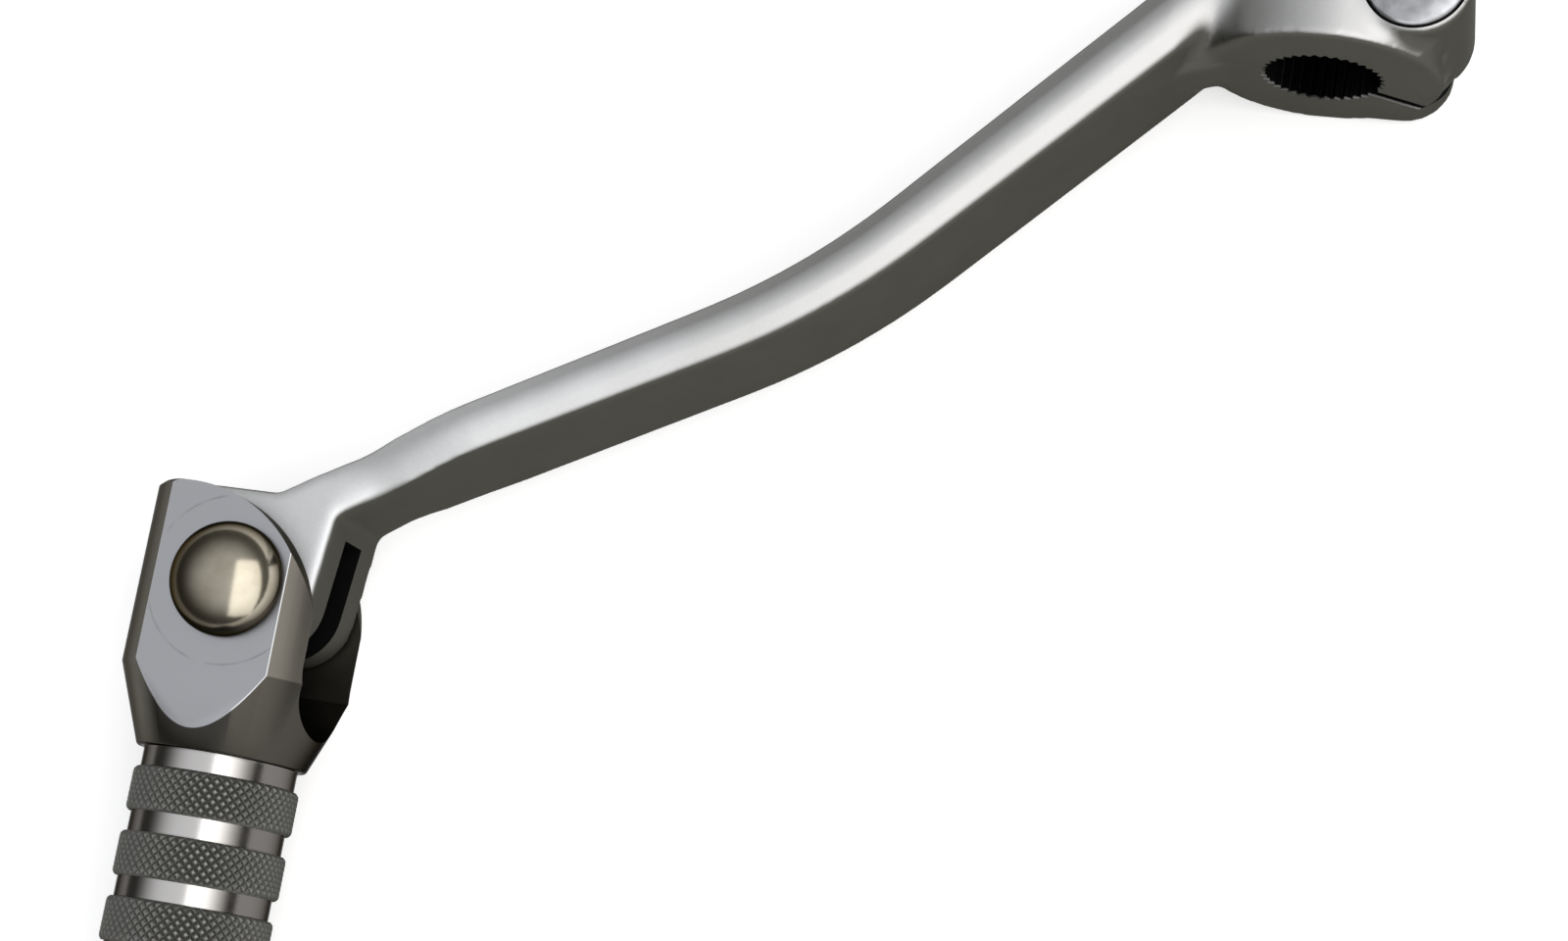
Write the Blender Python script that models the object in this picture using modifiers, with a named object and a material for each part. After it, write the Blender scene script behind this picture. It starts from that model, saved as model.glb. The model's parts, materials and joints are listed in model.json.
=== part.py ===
"""Folding gear shift lever of an off-road motorcycle, at real size in metres, +Z up.

X runs forward from the spindle hub to the toe tip, Y runs outboard from the engine and Z runs up
along the fold pin. Everything is laid out from the fold pin's axis and is then moved so that the
origin lies under the middle of the part, on the surface that it rests on.
"""

import math

import bmesh
import bpy
from mathutils import Matrix, Vector

MM = 0.001

# Clearances
SEAT_GAP = 0.25 * MM  # between a piece and the face that it rests on
RUNNING_GAP = 0.08 * MM  # all round the fold pin
SIDE_GAP = 0.30 * MM  # between the tongue and each cheek of the clevis
OVERLAP = 0.05 * MM  # how far a form of one forging starts inside its neighbour

# Where the arm ends, from the fold pin's axis
REACH_X = 100.85 * MM  # back to the spindle bore's axis
REACH_Y = 66.3 * MM  # inboard to the hub's outboard face

# Hub
HUB_WIDTH = 13.8 * MM
HUB_RADIUS = 12.0 * MM
HUB_EDGE = 0.6 * MM
BORE_TEETH = 36
BORE_TIP_RADIUS = 5.75 * MM
BORE_ROOT_RADIUS = 6.3 * MM

# Clamp lug and its slit, behind the bore
BOLT_BACK = 8.5 * MM  # bolt axis behind the bore's axis
LUG_REAR = 3.9 * MM  # material behind the bolt's axis
LUG_BOTTOM = 11.2 * MM
LUG_TOP = 7.6 * MM
LUG_CORNER = 4.8 * MM
PILLAR_RADIUS = 5.7 * MM
PILLAR_TOP = 11.3 * MM
PILLAR_FOOT = 6.5 * MM  # below the bore's axis, just above the slit at the back
PILLAR_EDGE = 0.7 * MM
SLIT_ANGLE = math.radians(33)  # below the horizontal, towards the rear
SLIT_WIDTH = 1.3 * MM

# Clamp bolt
BOLT_RADIUS = 3.0 * MM
BOLT_HOLE_GAP = 0.25 * MM
BOLT_LENGTH = 16.5 * MM
BOLT_HEAD_RADIUS = 5.0 * MM
BOLT_HEAD_HEIGHT = 6.0 * MM
BOLT_HEAD_PROUD = 0.7 * MM
BOLT_HEAD_CHAMFER = 0.6 * MM
SOCKET_FLATS = 5.0 * MM
SOCKET_DEPTH = 3.0 * MM

# Forged arm between the hub and the tongue
TIP_ANGLE = math.radians(28.3)
HUB_ANGLE = math.radians(45.6)
ROOT_X = 8.2 * MM  # where the centre line reaches the tongue
ROOT_Y = 11.1 * MM
TIP_BEND_X = 19.0 * MM  # where the arm turns a little more outboard, on the line at TIP_ANGLE
TIP_BEND_Y = 17.66 * MM
TIP_BEND_RADIUS = 30.0 * MM
BEND_RADIUS = 75.0 * MM
HUB_ENTRY = 10.5 * MM  # where the centre line reaches the middle plane of the hub
HUB_BEND_RADIUS = 6.0 * MM
ARM_WIDTH_TIP = 5.2 * MM
ARM_WIDTH_HUB = 6.4 * MM
ARM_SIDE_HEIGHT = 14.2 * MM  # flat side faces, between the crowns
ARM_CROWN = 0.9 * MM
ARM_EDGE = 0.7 * MM
HUB_WEB_LENGTH = 10.0 * MM  # web that widens the arm into the hub, below its crown
HUB_WEB_HEIGHT = 12.4 * MM
HUB_WEB_ROUND = 3.0 * MM
TIP_RAMP_START = 15.0 * MM  # from the pin's axis, so that the cheeks swing over it
TIP_RAMP_LENGTH = 15.0 * MM
STATIONS = 34

# Tongue, the forked end of the arm
TONGUE_HEIGHT = 13.1 * MM
TONGUE_NOSE = 6.2 * MM
TONGUE_BACK = 7.4 * MM
TONGUE_BACK_DRAFT = 1.5 * MM
TONGUE_FRONT = 7.2 * MM
TONGUE_INBOARD = 10.2 * MM
TONGUE_REAR_ROUND = 5.6 * MM
TONGUE_FRONT_ROUND = 5.6 * MM
TONGUE_CORNER = 1.2 * MM
STUB_LENGTH = 5.0 * MM
SPRING_SLOT_HEIGHT = 4.6 * MM
SPRING_SLOT_ROOT = 6.6 * MM

# Fold pin
PIN_RADIUS = 3.5 * MM
DOME_RADIUS = 5.9 * MM
DOME_HEIGHT = 4.4 * MM
DOME_RIM = 0.5 * MM
WASHER_RADIUS = 5.6 * MM
WASHER_THICKNESS = 0.7 * MM
TAIL_RADIUS = 4.7 * MM
TAIL_HEIGHT = 1.2 * MM

# Return spring
WIRE_RADIUS = 0.6 * MM
COIL_RADIUS = 4.8 * MM
COIL_PITCH = 1.32 * MM
COIL_TURNS = 2.25
STOP_LEG = 12.3 * MM  # how far outboard the leg on the clevis reaches
ROOT_LEG = 6.6 * MM  # how far back the leg in the tongue reaches

# Folding tip: a turned bar with two flats, milled into a clevis
BARREL_OFFSET = 1.0 * MM  # bar's axis ahead of the pin's axis
BODY_RADIUS = 11.9 * MM
BODY_EDGE = 0.4 * MM
FLATS = 19.1 * MM
EAR_END = 9.7 * MM
CONE_START = 10.1 * MM
CONE_END = 17.2 * MM
CONE_END_RADIUS = 8.8 * MM
NECK_RADIUS = 7.9 * MM
POCKET_END = 14.1 * MM
EAR_ARC_RADIUS = 15.4 * MM
EAR_ARC_X = 6.2 * MM

# Knurled barrel
RING_COUNT = 5
RING_RADIUS = 8.5 * MM
RING_START = 19.4 * MM
RING_WIDTH = 4.5 * MM
RING_PITCH = 6.65 * MM
RING_CHAMFER = 0.35 * MM
END_CHAMFER = 1.2 * MM

TURN_STEPS = 64
ARC_STEP = math.radians(12)

ALUMINIUM = ("forged_aluminium", (0.62, 0.62, 0.63), 0.42, 1.0)
MACHINED = ("machined_aluminium", (0.55, 0.55, 0.58), 0.38, 1.0)
POLISHED = ("polished_steel", (0.60, 0.57, 0.50), 0.12, 1.0)
PLATED = ("plated_steel", (0.55, 0.56, 0.58), 0.30, 1.0)
SPRING_STEEL = ("spring_steel", (0.20, 0.17, 0.15), 0.45, 1.0)

HUB_MIDDLE_Y = -REACH_Y - HUB_WIDTH / 2
BOLT_X = -REACH_X - BOLT_BACK
POCKET_HALF = TONGUE_HEIGHT / 2 + SIDE_GAP
POCKET_FRONT = TONGUE_FRONT + SIDE_GAP


def clear_scene():
    for item in list(bpy.data.objects):
        bpy.data.objects.remove(item, do_unlink=True)


def new_collection(name):
    collection = bpy.data.collections.new(name)
    bpy.context.scene.collection.children.link(collection)
    return collection


def material(finish):
    name, colour, roughness, metallic = finish
    made = bpy.data.materials.get(name)
    if made is None:
        made = bpy.data.materials.new(name)
        made.use_nodes = True
        shader = made.node_tree.nodes["Principled BSDF"]
        shader.inputs["Base Color"].default_value = (*colour, 1.0)
        shader.inputs["Roughness"].default_value = roughness
        shader.inputs["Metallic"].default_value = metallic
    return made


class Workshop:
    """Holds the two collections and makes the pieces and the helpers in them."""

    def __init__(self):
        self.parts = new_collection("gear_shift_lever")
        self.helpers = new_collection("construction")
        self.root = bpy.data.objects.new("lever_origin", None)
        self.pivot = bpy.data.objects.new("tip_pivot", None)
        self.pivot.parent = self.root
        for empty in (self.root, self.pivot):
            self.parts.objects.link(empty)

    def adopt(self, obj, parent=None):
        obj.parent = parent or self.root
        return obj

    def from_mesh(self, name, mesh, parent=None):
        obj = bpy.data.objects.new(name, mesh)
        self.helpers.objects.link(obj)
        obj.hide_render = True
        obj.display_type = "WIRE"
        return self.adopt(obj, parent)

    def finish(self, obj, look, parent=None):
        """Turns a helper into a visible piece."""
        self.helpers.objects.unlink(obj)
        self.parts.objects.link(obj)
        obj.hide_render = False
        obj.display_type = "TEXTURED"
        obj.parent = parent or self.root
        obj.data.materials.append(material(look))
        obj.data.shade_smooth()
        obj.data.set_sharp_from_angle(angle=math.radians(32))
        return obj

    def plate(self, name, outline, low, high):
        """A flat outline in plan, filled between two heights."""
        curve = bpy.data.curves.new(name, "CURVE")
        curve.dimensions = "2D"
        curve.fill_mode = "BOTH"
        curve.extrude = (high - low) / 2
        spline = curve.splines.new("POLY")
        spline.points.add(len(outline) - 1)
        spline.use_cyclic_u = True
        for point, (x, y) in zip(spline.points, outline):
            point.co = (x, y, 0, 1)
        guide = bpy.data.objects.new(name + "_curve", curve)
        self.helpers.objects.link(guide)
        bpy.context.view_layer.update()
        evaluated = guide.evaluated_get(bpy.context.evaluated_depsgraph_get())
        mesh = bpy.data.meshes.new_from_object(evaluated)
        bpy.data.objects.remove(guide, do_unlink=True)
        solid = bmesh.new()
        solid.from_mesh(mesh)
        bmesh.ops.remove_doubles(solid, verts=solid.verts, dist=1e-6)
        bmesh.ops.translate(solid, verts=solid.verts, vec=(0, 0, (high + low) / 2))
        bmesh.ops.recalc_face_normals(solid, faces=solid.faces)
        solid.to_mesh(mesh)
        solid.free()
        return self.from_mesh(name, mesh)

    def cylinder(self, name, radius, start, end, segments=TURN_STEPS, turn=0.0):
        """A straight round bar between two points."""
        start = Vector(start)
        axis = Vector(end) - start
        solid = bmesh.new()
        bmesh.ops.create_cone(
            solid, cap_ends=True, segments=segments, radius1=radius, radius2=radius,
            depth=axis.length,
        )
        place = (
            Matrix.Translation(start + axis / 2)
            @ axis.to_track_quat("Z", "Y").to_matrix().to_4x4()
            @ Matrix.Rotation(turn, 4, "Z")
        )
        bmesh.ops.transform(solid, matrix=place, verts=solid.verts)
        mesh = bpy.data.meshes.new(name)
        solid.to_mesh(mesh)
        solid.free()
        return self.from_mesh(name, mesh)

    def box(self, name, low, high):
        """A box between two opposite corners."""
        low = Vector(low)
        high = Vector(high)
        solid = bmesh.new()
        bmesh.ops.create_cube(solid, size=1)
        bmesh.ops.scale(solid, vec=high - low, verts=solid.verts)
        bmesh.ops.translate(solid, vec=(low + high) / 2, verts=solid.verts)
        mesh = bpy.data.meshes.new(name)
        solid.to_mesh(mesh)
        solid.free()
        return self.from_mesh(name, mesh)

    def turned(self, name, profile, place):
        """A profile of (radius, height) points, top to bottom, turned about its own Z axis."""
        mesh = bpy.data.meshes.new(name)
        points = [(radius, 0, height) for radius, height in profile]
        mesh.from_pydata(points, [(i, i + 1) for i in range(len(points) - 1)], [])
        obj = self.from_mesh(name, mesh)
        screw = obj.modifiers.new("turn", "SCREW")
        screw.steps = TURN_STEPS
        screw.render_steps = TURN_STEPS
        screw.use_merge_vertices = True
        screw.merge_threshold = 1e-5
        screw.use_smooth_shade = False
        obj.matrix_local = place
        return obj


def combine(target, other, operation):
    boolean = target.modifiers.new(other.name, "BOOLEAN")
    boolean.operation = operation
    boolean.solver = "EXACT"
    boolean.object = other


def cut(target, *cutters):
    for cutter in cutters:
        combine(target, cutter, "DIFFERENCE")


def join(target, *others):
    for other in others:
        combine(target, other, "UNION")


def arc_points(centre, radius, start, end):
    """Points along an arc from one angle to the other, both ends included."""
    count = max(2, math.ceil(abs(end - start) / ARC_STEP))
    angles = [start + (end - start) * i / count for i in range(count + 1)]
    return [centre + radius * Vector((math.cos(a), math.sin(a))) for a in angles]


def round_corner(before, corner, after, radius):
    """The arc that rounds one corner of an outline, or the corner itself."""
    if radius <= 0:
        return [corner]
    back = (before - corner).normalized()
    on = (after - corner).normalized()
    half = back.angle(on) / 2
    reach = radius / math.tan(half)
    centre = corner + (back + on).normalized() * radius / math.sin(half)
    first = corner + back * reach - centre
    last = corner + on * reach - centre
    start = math.atan2(first.y, first.x)
    sweep = (math.atan2(last.y, last.x) - start + math.pi) % (2 * math.pi) - math.pi
    return arc_points(centre, radius, start, start + sweep)


def rounded(corners, closed=True):
    """An outline of (x, y, radius) corners with each corner rounded by its own radius."""
    spots = [Vector((x, y)) for x, y, _ in corners]
    outline = []
    for i, (_, _, radius) in enumerate(corners):
        if not closed and i in (0, len(corners) - 1):
            outline.append(spots[i])
            continue
        after = spots[(i + 1) % len(spots)]
        outline.extend(round_corner(spots[i - 1], spots[i], after, radius))
    return outline


def heading(angle):
    return Vector((math.cos(angle), math.sin(angle)))


def crossing(start, along, other, other_along):
    """Where two lines in plan meet."""
    gap = other - start
    reach = (gap.x * other_along.y - gap.y * other_along.x) / (
        along.x * other_along.y - along.y * other_along.x
    )
    return start + along * reach


def centre_line():
    """Rounded centre line of the arm in plan, from inside the hub to inside the tongue."""
    hub = Vector((-REACH_X, HUB_MIDDLE_Y))
    hub_front = hub + Vector((HUB_ENTRY, 0))
    tip_bend = Vector((-TIP_BEND_X, -TIP_BEND_Y))
    bend = crossing(hub_front, heading(HUB_ANGLE), tip_bend, heading(TIP_ANGLE))
    corners = [
        (*hub, 0),
        (*hub_front, HUB_BEND_RADIUS),
        (*bend, BEND_RADIUS),
        (*tip_bend, TIP_BEND_RADIUS),
        (-ROOT_X, -ROOT_Y, 0),
    ]
    return rounded(corners, closed=False)


def resample(path, count):
    """Evenly spaced (point, direction, distance) stations along a path."""
    lengths = [0.0]
    for a, b in zip(path, path[1:]):
        lengths.append(lengths[-1] + (b - a).length)
    stations = []
    for i in range(count):
        wanted = lengths[-1] * i / (count - 1)
        k = 0
        while k < len(path) - 2 and lengths[k + 1] < wanted:
            k += 1
        step = path[k + 1] - path[k]
        share = (wanted - lengths[k]) / (lengths[k + 1] - lengths[k])
        stations.append([path[k] + step * share, step.normalized(), wanted])
    turned = [station[1] for station in stations]
    for i in range(1, count - 1):
        stations[i][1] = (turned[i - 1] + turned[i] + turned[i + 1]).normalized()
    return stations, lengths[-1]


def ease(value):
    """Smooth step from 0 to 1."""
    value = min(1.0, max(0.0, value))
    return value * value * (3 - 2 * value)


def mix(a, b, share):
    return a + (b - a) * share


def arm_section(width, height, crown):
    """Half outline to full outline of the arm across its length: flat sides, crowned top."""
    half = width / 2
    edge = min(ARM_EDGE, half / 2)
    crown_radius = ((half - edge) ** 2 + crown**2) / (2 * crown)
    top = []
    for i in range(7):
        across = (half - edge) * (1 - i / 3)
        rise = math.sqrt(crown_radius**2 - across**2) - (crown_radius - crown)
        top.append((across, height / 2 + edge + rise))
    first = [(half, height / 2), (half - edge * 0.3, height / 2 + edge * 0.7)]
    upper = first + top + [(-x, z) for x, z in reversed(first)]
    return upper + [(-x, -z) for x, z in upper]


def web_section(width, height):
    """Full outline of the web across its length: upright bar with rounded corners."""
    outline = []
    for quarter in range(4):
        x_side = 1 if quarter in (0, 3) else -1
        z_side = 1 if quarter in (0, 1) else -1
        x = x_side * (width / 2 - HUB_WEB_ROUND)
        z = z_side * (height / 2 - HUB_WEB_ROUND)
        for i in range(5):
            turn = math.radians(90 * quarter + 22.5 * i)
            outline.append(
                (x + HUB_WEB_ROUND * math.cos(turn), z + HUB_WEB_ROUND * math.sin(turn))
            )
    return outline


def loft(shop, name, sections):
    """A closed solid through (spot, direction, outline) sections along a path in plan."""
    solid = bmesh.new()
    rings = []
    for spot, along, outline in sections:
        side = Vector((-along.y, along.x))
        ring = []
        for across, up in outline:
            place = spot + side * across
            ring.append(solid.verts.new((place.x, place.y, up)))
        rings.append(ring)
    for a, b in zip(rings, rings[1:]):
        for i in range(len(a)):
            j = (i + 1) % len(a)
            solid.faces.new((a[i], a[j], b[j], b[i]))
    solid.faces.new(rings[0][::-1])
    solid.faces.new(rings[-1])
    bmesh.ops.recalc_face_normals(solid, faces=solid.faces)
    mesh = bpy.data.meshes.new(name)
    solid.to_mesh(mesh)
    solid.free()
    return shop.from_mesh(name, mesh)


def arm_beam(shop):
    """The forged arm, lofted through sections along its centre line."""
    stations, length = resample(centre_line(), STATIONS)
    sections = []
    for spot, along, travelled in stations:
        ramp = ease((spot.length - TIP_RAMP_START) / TIP_RAMP_LENGTH)
        width = mix(ARM_WIDTH_HUB, ARM_WIDTH_TIP, ease(travelled / length))
        crown = mix(ARM_CROWN / 8, ARM_CROWN, ramp)
        root_height = TONGUE_HEIGHT - 2 * (OVERLAP + ARM_EDGE + crown)
        height = mix(root_height, ARM_SIDE_HEIGHT, ramp)
        sections.append((spot, along, arm_section(width, height, crown)))
    return loft(shop, "arm_beam", sections)


def hub_web(shop):
    """Web that joins the arm's flanks to the hub's faces, ending inside the arm."""
    stations, _ = resample(centre_line(), 2 * STATIONS)
    sections = []
    for spot, along, travelled in stations:
        if travelled > HUB_ENTRY + HUB_WEB_LENGTH:
            break
        flare = 1 - ease((travelled - HUB_ENTRY) / HUB_WEB_LENGTH)
        width = mix(ARM_WIDTH_HUB - 4 * OVERLAP, HUB_WIDTH - 4 * OVERLAP, flare)
        sections.append((spot, along, web_section(width, HUB_WEB_HEIGHT)))
    return loft(shop, "hub_web", sections)


def tongue(shop):
    """Forked end of the arm, with a stub that runs inside the arm's own sides."""
    root = Vector((-ROOT_X, -ROOT_Y))
    along = (root - Vector((-TIP_BEND_X, -TIP_BEND_Y))).normalized()
    side = Vector((-along.y, along.x))
    end = root - along * STUB_LENGTH
    reach = ARM_WIDTH_TIP / 2 - 2 * OVERLAP
    back_x = -TONGUE_BACK - TONGUE_BACK_DRAFT
    back = crossing(root + side * reach, along, Vector((back_x, 0)), Vector((0, 1)))
    inner = crossing(root - side * reach, along, Vector((0, -TONGUE_INBOARD)), Vector((1, 0)))
    outline = rounded([
        (TONGUE_FRONT, -TONGUE_INBOARD, TONGUE_CORNER),
        (TONGUE_FRONT, TONGUE_NOSE, TONGUE_FRONT_ROUND),
        (-TONGUE_BACK, TONGUE_NOSE, TONGUE_REAR_ROUND),
        (back.x, back.y, TONGUE_CORNER),
        (*(end + side * reach), 0),
        (*(end - side * reach), 0),
        (inner.x, inner.y, TONGUE_CORNER),
    ])
    return shop.plate("tongue", outline, -TONGUE_HEIGHT / 2, TONGUE_HEIGHT / 2)


def bore_cutter(shop):
    """Serrated spindle bore, longer than the hub is wide."""
    count = 2 * BORE_TEETH
    outline = []
    for i in range(count):
        radius = BORE_ROOT_RADIUS if i % 2 else BORE_TIP_RADIUS
        angle = 2 * math.pi * i / count
        outline.append((radius * math.cos(angle), radius * math.sin(angle)))
    cutter = shop.plate("bore_cutter", outline, -HUB_WIDTH, HUB_WIDTH)
    stand = Matrix.Rotation(math.radians(90), 4, "X")
    cutter.matrix_local = Matrix.Translation((-REACH_X, HUB_MIDDLE_Y, 0)) @ stand
    return cutter


def slit_cutter(shop):
    """Clamp slit: a saw cut from inside the bore out through the lug."""
    reach = BOLT_BACK + LUG_REAR + LUG_BOTTOM
    cutter = shop.box(
        "slit_cutter",
        (-reach, -HUB_WIDTH, -SLIT_WIDTH / 2),
        (0, HUB_WIDTH, SLIT_WIDTH / 2),
    )
    lean = Matrix.Rotation(-SLIT_ANGLE, 4, "Y")
    cutter.matrix_local = Matrix.Translation((-REACH_X, HUB_MIDDLE_Y, 0)) @ lean
    return cutter


def clamp_lug(shop):
    """Lug behind the bore, its rear upright corners rounded."""
    rear = BOLT_X - LUG_REAR
    front = -REACH_X + 2 * HUB_EDGE
    low = HUB_MIDDLE_Y - HUB_WIDTH / 2 + OVERLAP
    high = HUB_MIDDLE_Y + HUB_WIDTH / 2 - OVERLAP
    outline = rounded([
        (rear, low, LUG_CORNER),
        (front, low, 0),
        (front, high, 0),
        (rear, high, LUG_CORNER),
    ])
    return shop.plate("clamp_lug", outline, -LUG_BOTTOM, LUG_TOP)


def bolt_seat_height():
    return PILLAR_TOP + BOLT_HEAD_PROUD - BOLT_HEAD_HEIGHT - SEAT_GAP


def lever_arm(shop):
    hub_outer = Vector((-REACH_X, -REACH_Y, 0))
    hub_inner = hub_outer - Vector((0, HUB_WIDTH, 0))
    hub = shop.cylinder("lever_arm", HUB_RADIUS, hub_inner, hub_outer)
    rim = hub.modifiers.new("hub_edge", "BEVEL")
    rim.width = HUB_EDGE
    rim.segments = 2
    rim.limit_method = "ANGLE"
    foot = (BOLT_X, HUB_MIDDLE_Y, -PILLAR_FOOT)
    pillar = shop.cylinder("pillar", PILLAR_RADIUS, foot, (BOLT_X, HUB_MIDDLE_Y, PILLAR_TOP))
    edge = pillar.modifiers.new("pillar_edge", "BEVEL")
    edge.width = PILLAR_EDGE
    edge.segments = 3
    edge.limit_method = "ANGLE"
    join(hub, clamp_lug(shop), pillar, hub_web(shop), arm_beam(shop), tongue(shop))
    seat = bolt_seat_height()
    hole = BOLT_RADIUS + BOLT_HOLE_GAP
    well = BOLT_HEAD_RADIUS + BOLT_HOLE_GAP
    top = (BOLT_X, HUB_MIDDLE_Y, 2 * PILLAR_TOP)
    cut(
        hub,
        bore_cutter(shop),
        slit_cutter(shop),
        shop.cylinder("bolt_hole", hole, (BOLT_X, HUB_MIDDLE_Y, -2 * LUG_BOTTOM), top),
        shop.cylinder("bolt_well", well, (BOLT_X, HUB_MIDDLE_Y, seat), top),
        shop.cylinder(
            "arm_pin_hole", PIN_RADIUS + RUNNING_GAP, (0, 0, -TONGUE_HEIGHT), (0, 0, TONGUE_HEIGHT)
        ),
        shop.box(
            "spring_slot",
            (-2 * TONGUE_BACK, -SPRING_SLOT_ROOT, -SPRING_SLOT_HEIGHT / 2),
            (2 * TONGUE_FRONT, 2 * TONGUE_NOSE, SPRING_SLOT_HEIGHT / 2),
        ),
    )
    return shop.finish(hub, ALUMINIUM)


def clamp_bolt(shop):
    """Socket head screw: the head sits in the pillar's well, the shank crosses the slit."""
    seat = bolt_seat_height() + SEAT_GAP
    top = seat + BOLT_HEAD_HEIGHT
    low = seat - BOLT_LENGTH
    chamfer = BOLT_HEAD_CHAMFER
    profile = [
        (0, top),
        (BOLT_HEAD_RADIUS - chamfer, top),
        (BOLT_HEAD_RADIUS, top - chamfer),
        (BOLT_HEAD_RADIUS, seat),
        (BOLT_RADIUS, seat),
        (BOLT_RADIUS, low + chamfer),
        (BOLT_RADIUS - chamfer, low),
        (0, low),
    ]
    place = Matrix.Translation((BOLT_X, HUB_MIDDLE_Y, 0))
    bolt = shop.turned("clamp_bolt", profile, place)
    socket = shop.cylinder(
        "socket_cutter",
        SOCKET_FLATS / math.sqrt(3),
        (BOLT_X, HUB_MIDDLE_Y, top - SOCKET_DEPTH),
        (BOLT_X, HUB_MIDDLE_Y, top + SOCKET_DEPTH),
        segments=6,
    )
    cut(bolt, socket)
    return shop.finish(bolt, PLATED)


def ring_profile():
    """(radius, distance) steps of the knurled rings and the plain grooves between them."""
    steps = []
    for i in range(RING_COUNT):
        start = RING_START + i * RING_PITCH
        end = start + RING_WIDTH
        last = i == RING_COUNT - 1
        bevel = END_CHAMFER if last else RING_CHAMFER
        steps += [
            (NECK_RADIUS, start),
            (RING_RADIUS - RING_CHAMFER / 2, start),
            (RING_RADIUS, start + RING_CHAMFER),
            (RING_RADIUS, end - bevel),
            (RING_RADIUS - bevel / 2, end),
        ]
        if not last:
            steps.append((NECK_RADIUS, end))
    return steps


def ear_corner_cutter(shop):
    """What lies outside the arc that clears the arm when the tip swings back."""
    centre = Vector((EAR_ARC_X, EAR_ARC_RADIUS - EAR_END))
    far = 2 * BODY_RADIUS
    arc = arc_points(centre, EAR_ARC_RADIUS, -math.pi, -math.pi / 2)
    corner = [Vector((EAR_ARC_X, -far)), Vector((-far, -far)), Vector((-far, centre.y))]
    return shop.plate("ear_corner_cutter", arc + corner, -far, far)


def folding_tip(shop):
    """Clevis and barrel in one: turned about Y, then given flats, pocket, arc and pin hole."""
    profile = [
        (0, -EAR_END),
        (BODY_RADIUS - BODY_EDGE, -EAR_END),
        (BODY_RADIUS, BODY_EDGE - EAR_END),
        (BODY_RADIUS, CONE_START),
        (CONE_END_RADIUS, CONE_END),
        (NECK_RADIUS, CONE_END),
        *ring_profile(),
    ]
    profile.append((0, profile[-1][1]))
    profile = [(radius, -distance) for radius, distance in profile]
    lay = Matrix.Rotation(math.radians(90), 4, "X")
    tip = shop.turned("folding_tip", profile, Matrix.Translation((BARREL_OFFSET, 0, 0)) @ lay)
    far = 3 * BODY_RADIUS
    pocket_centre = POCKET_END - POCKET_HALF
    ear = -2 * EAR_END
    cut(
        tip,
        shop.box("top_flat_cutter", (-far, -far, FLATS / 2), (far, far, far)),
        shop.box("bottom_flat_cutter", (-far, -far, -far), (far, far, -FLATS / 2)),
        shop.box(
            "pocket_cutter",
            (-far, ear, -POCKET_HALF),
            (POCKET_FRONT, pocket_centre, POCKET_HALF),
        ),
        shop.cylinder(
            "pocket_end_cutter", POCKET_HALF, (-far, pocket_centre, 0), (POCKET_FRONT, pocket_centre, 0)
        ),
        ear_corner_cutter(shop),
        shop.cylinder("tip_pin_hole", PIN_RADIUS + RUNNING_GAP, (0, 0, -FLATS), (0, 0, FLATS)),
    )
    return shop.finish(tip, MACHINED, shop.pivot)


def fold_pin(shop):
    """Domed rivet through the cheeks and the tongue, closed over its washer below."""
    seat = FLATS / 2 + SEAT_GAP
    tail = -FLATS / 2 - 2 * SEAT_GAP - WASHER_THICKNESS
    dome = [(0, seat + DOME_HEIGHT)]
    for i in range(1, 8):
        angle = math.pi / 2 * i / 8
        height = seat + DOME_RIM + (DOME_HEIGHT - DOME_RIM) * math.cos(angle)
        dome.append((DOME_RADIUS * math.sin(angle), height))
    profile = [
        *dome,
        (DOME_RADIUS, seat + DOME_RIM),
        (DOME_RADIUS, seat),
        (PIN_RADIUS, seat),
        (PIN_RADIUS, tail),
        (TAIL_RADIUS, tail),
        (TAIL_RADIUS, tail - TAIL_HEIGHT / 3),
        (TAIL_RADIUS * 0.6, tail - TAIL_HEIGHT),
        (0, tail - TAIL_HEIGHT),
    ]
    pin = shop.turned("fold_pin", profile, Matrix.Identity(4))
    return shop.finish(pin, POLISHED, shop.pivot)


def pin_washer(shop):
    top = -FLATS / 2 - SEAT_GAP
    low = top - WASHER_THICKNESS
    bore = PIN_RADIUS + RUNNING_GAP
    profile = [(bore, top), (WASHER_RADIUS, top), (WASHER_RADIUS, low), (bore, low), (bore, top)]
    washer = shop.turned("pin_washer", profile, Matrix.Identity(4))
    return shop.finish(washer, PLATED, shop.pivot)


def return_spring(shop):
    """Torsion spring round the pin: one leg on the slot's root, the other on the stop wall."""
    low = -COIL_TURNS * COIL_PITCH / 2
    start = -math.pi / 2
    count = round(COIL_TURNS * 20)
    leg_end = POCKET_FRONT - WIRE_RADIUS - SEAT_GAP
    points = [(-ROOT_LEG, -COIL_RADIUS, low)]
    for i in range(count + 1):
        share = i / count
        angle = start + 2 * math.pi * COIL_TURNS * share
        height = low - 2 * low * share
        points.append((COIL_RADIUS * math.cos(angle), COIL_RADIUS * math.sin(angle), height))
    points.append((leg_end, STOP_LEG, -low))
    curve = bpy.data.curves.new("return_spring", "CURVE")
    curve.dimensions = "3D"
    curve.bevel_depth = WIRE_RADIUS
    curve.bevel_resolution = 2
    curve.use_fill_caps = True
    spline = curve.splines.new("POLY")
    spline.points.add(len(points) - 1)
    for point, place in zip(spline.points, points):
        point.co = (*place, 1)
    spring = bpy.data.objects.new("return_spring", curve)
    shop.parts.objects.link(spring)
    curve.materials.append(material(SPRING_STEEL))
    return shop.adopt(spring)


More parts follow.
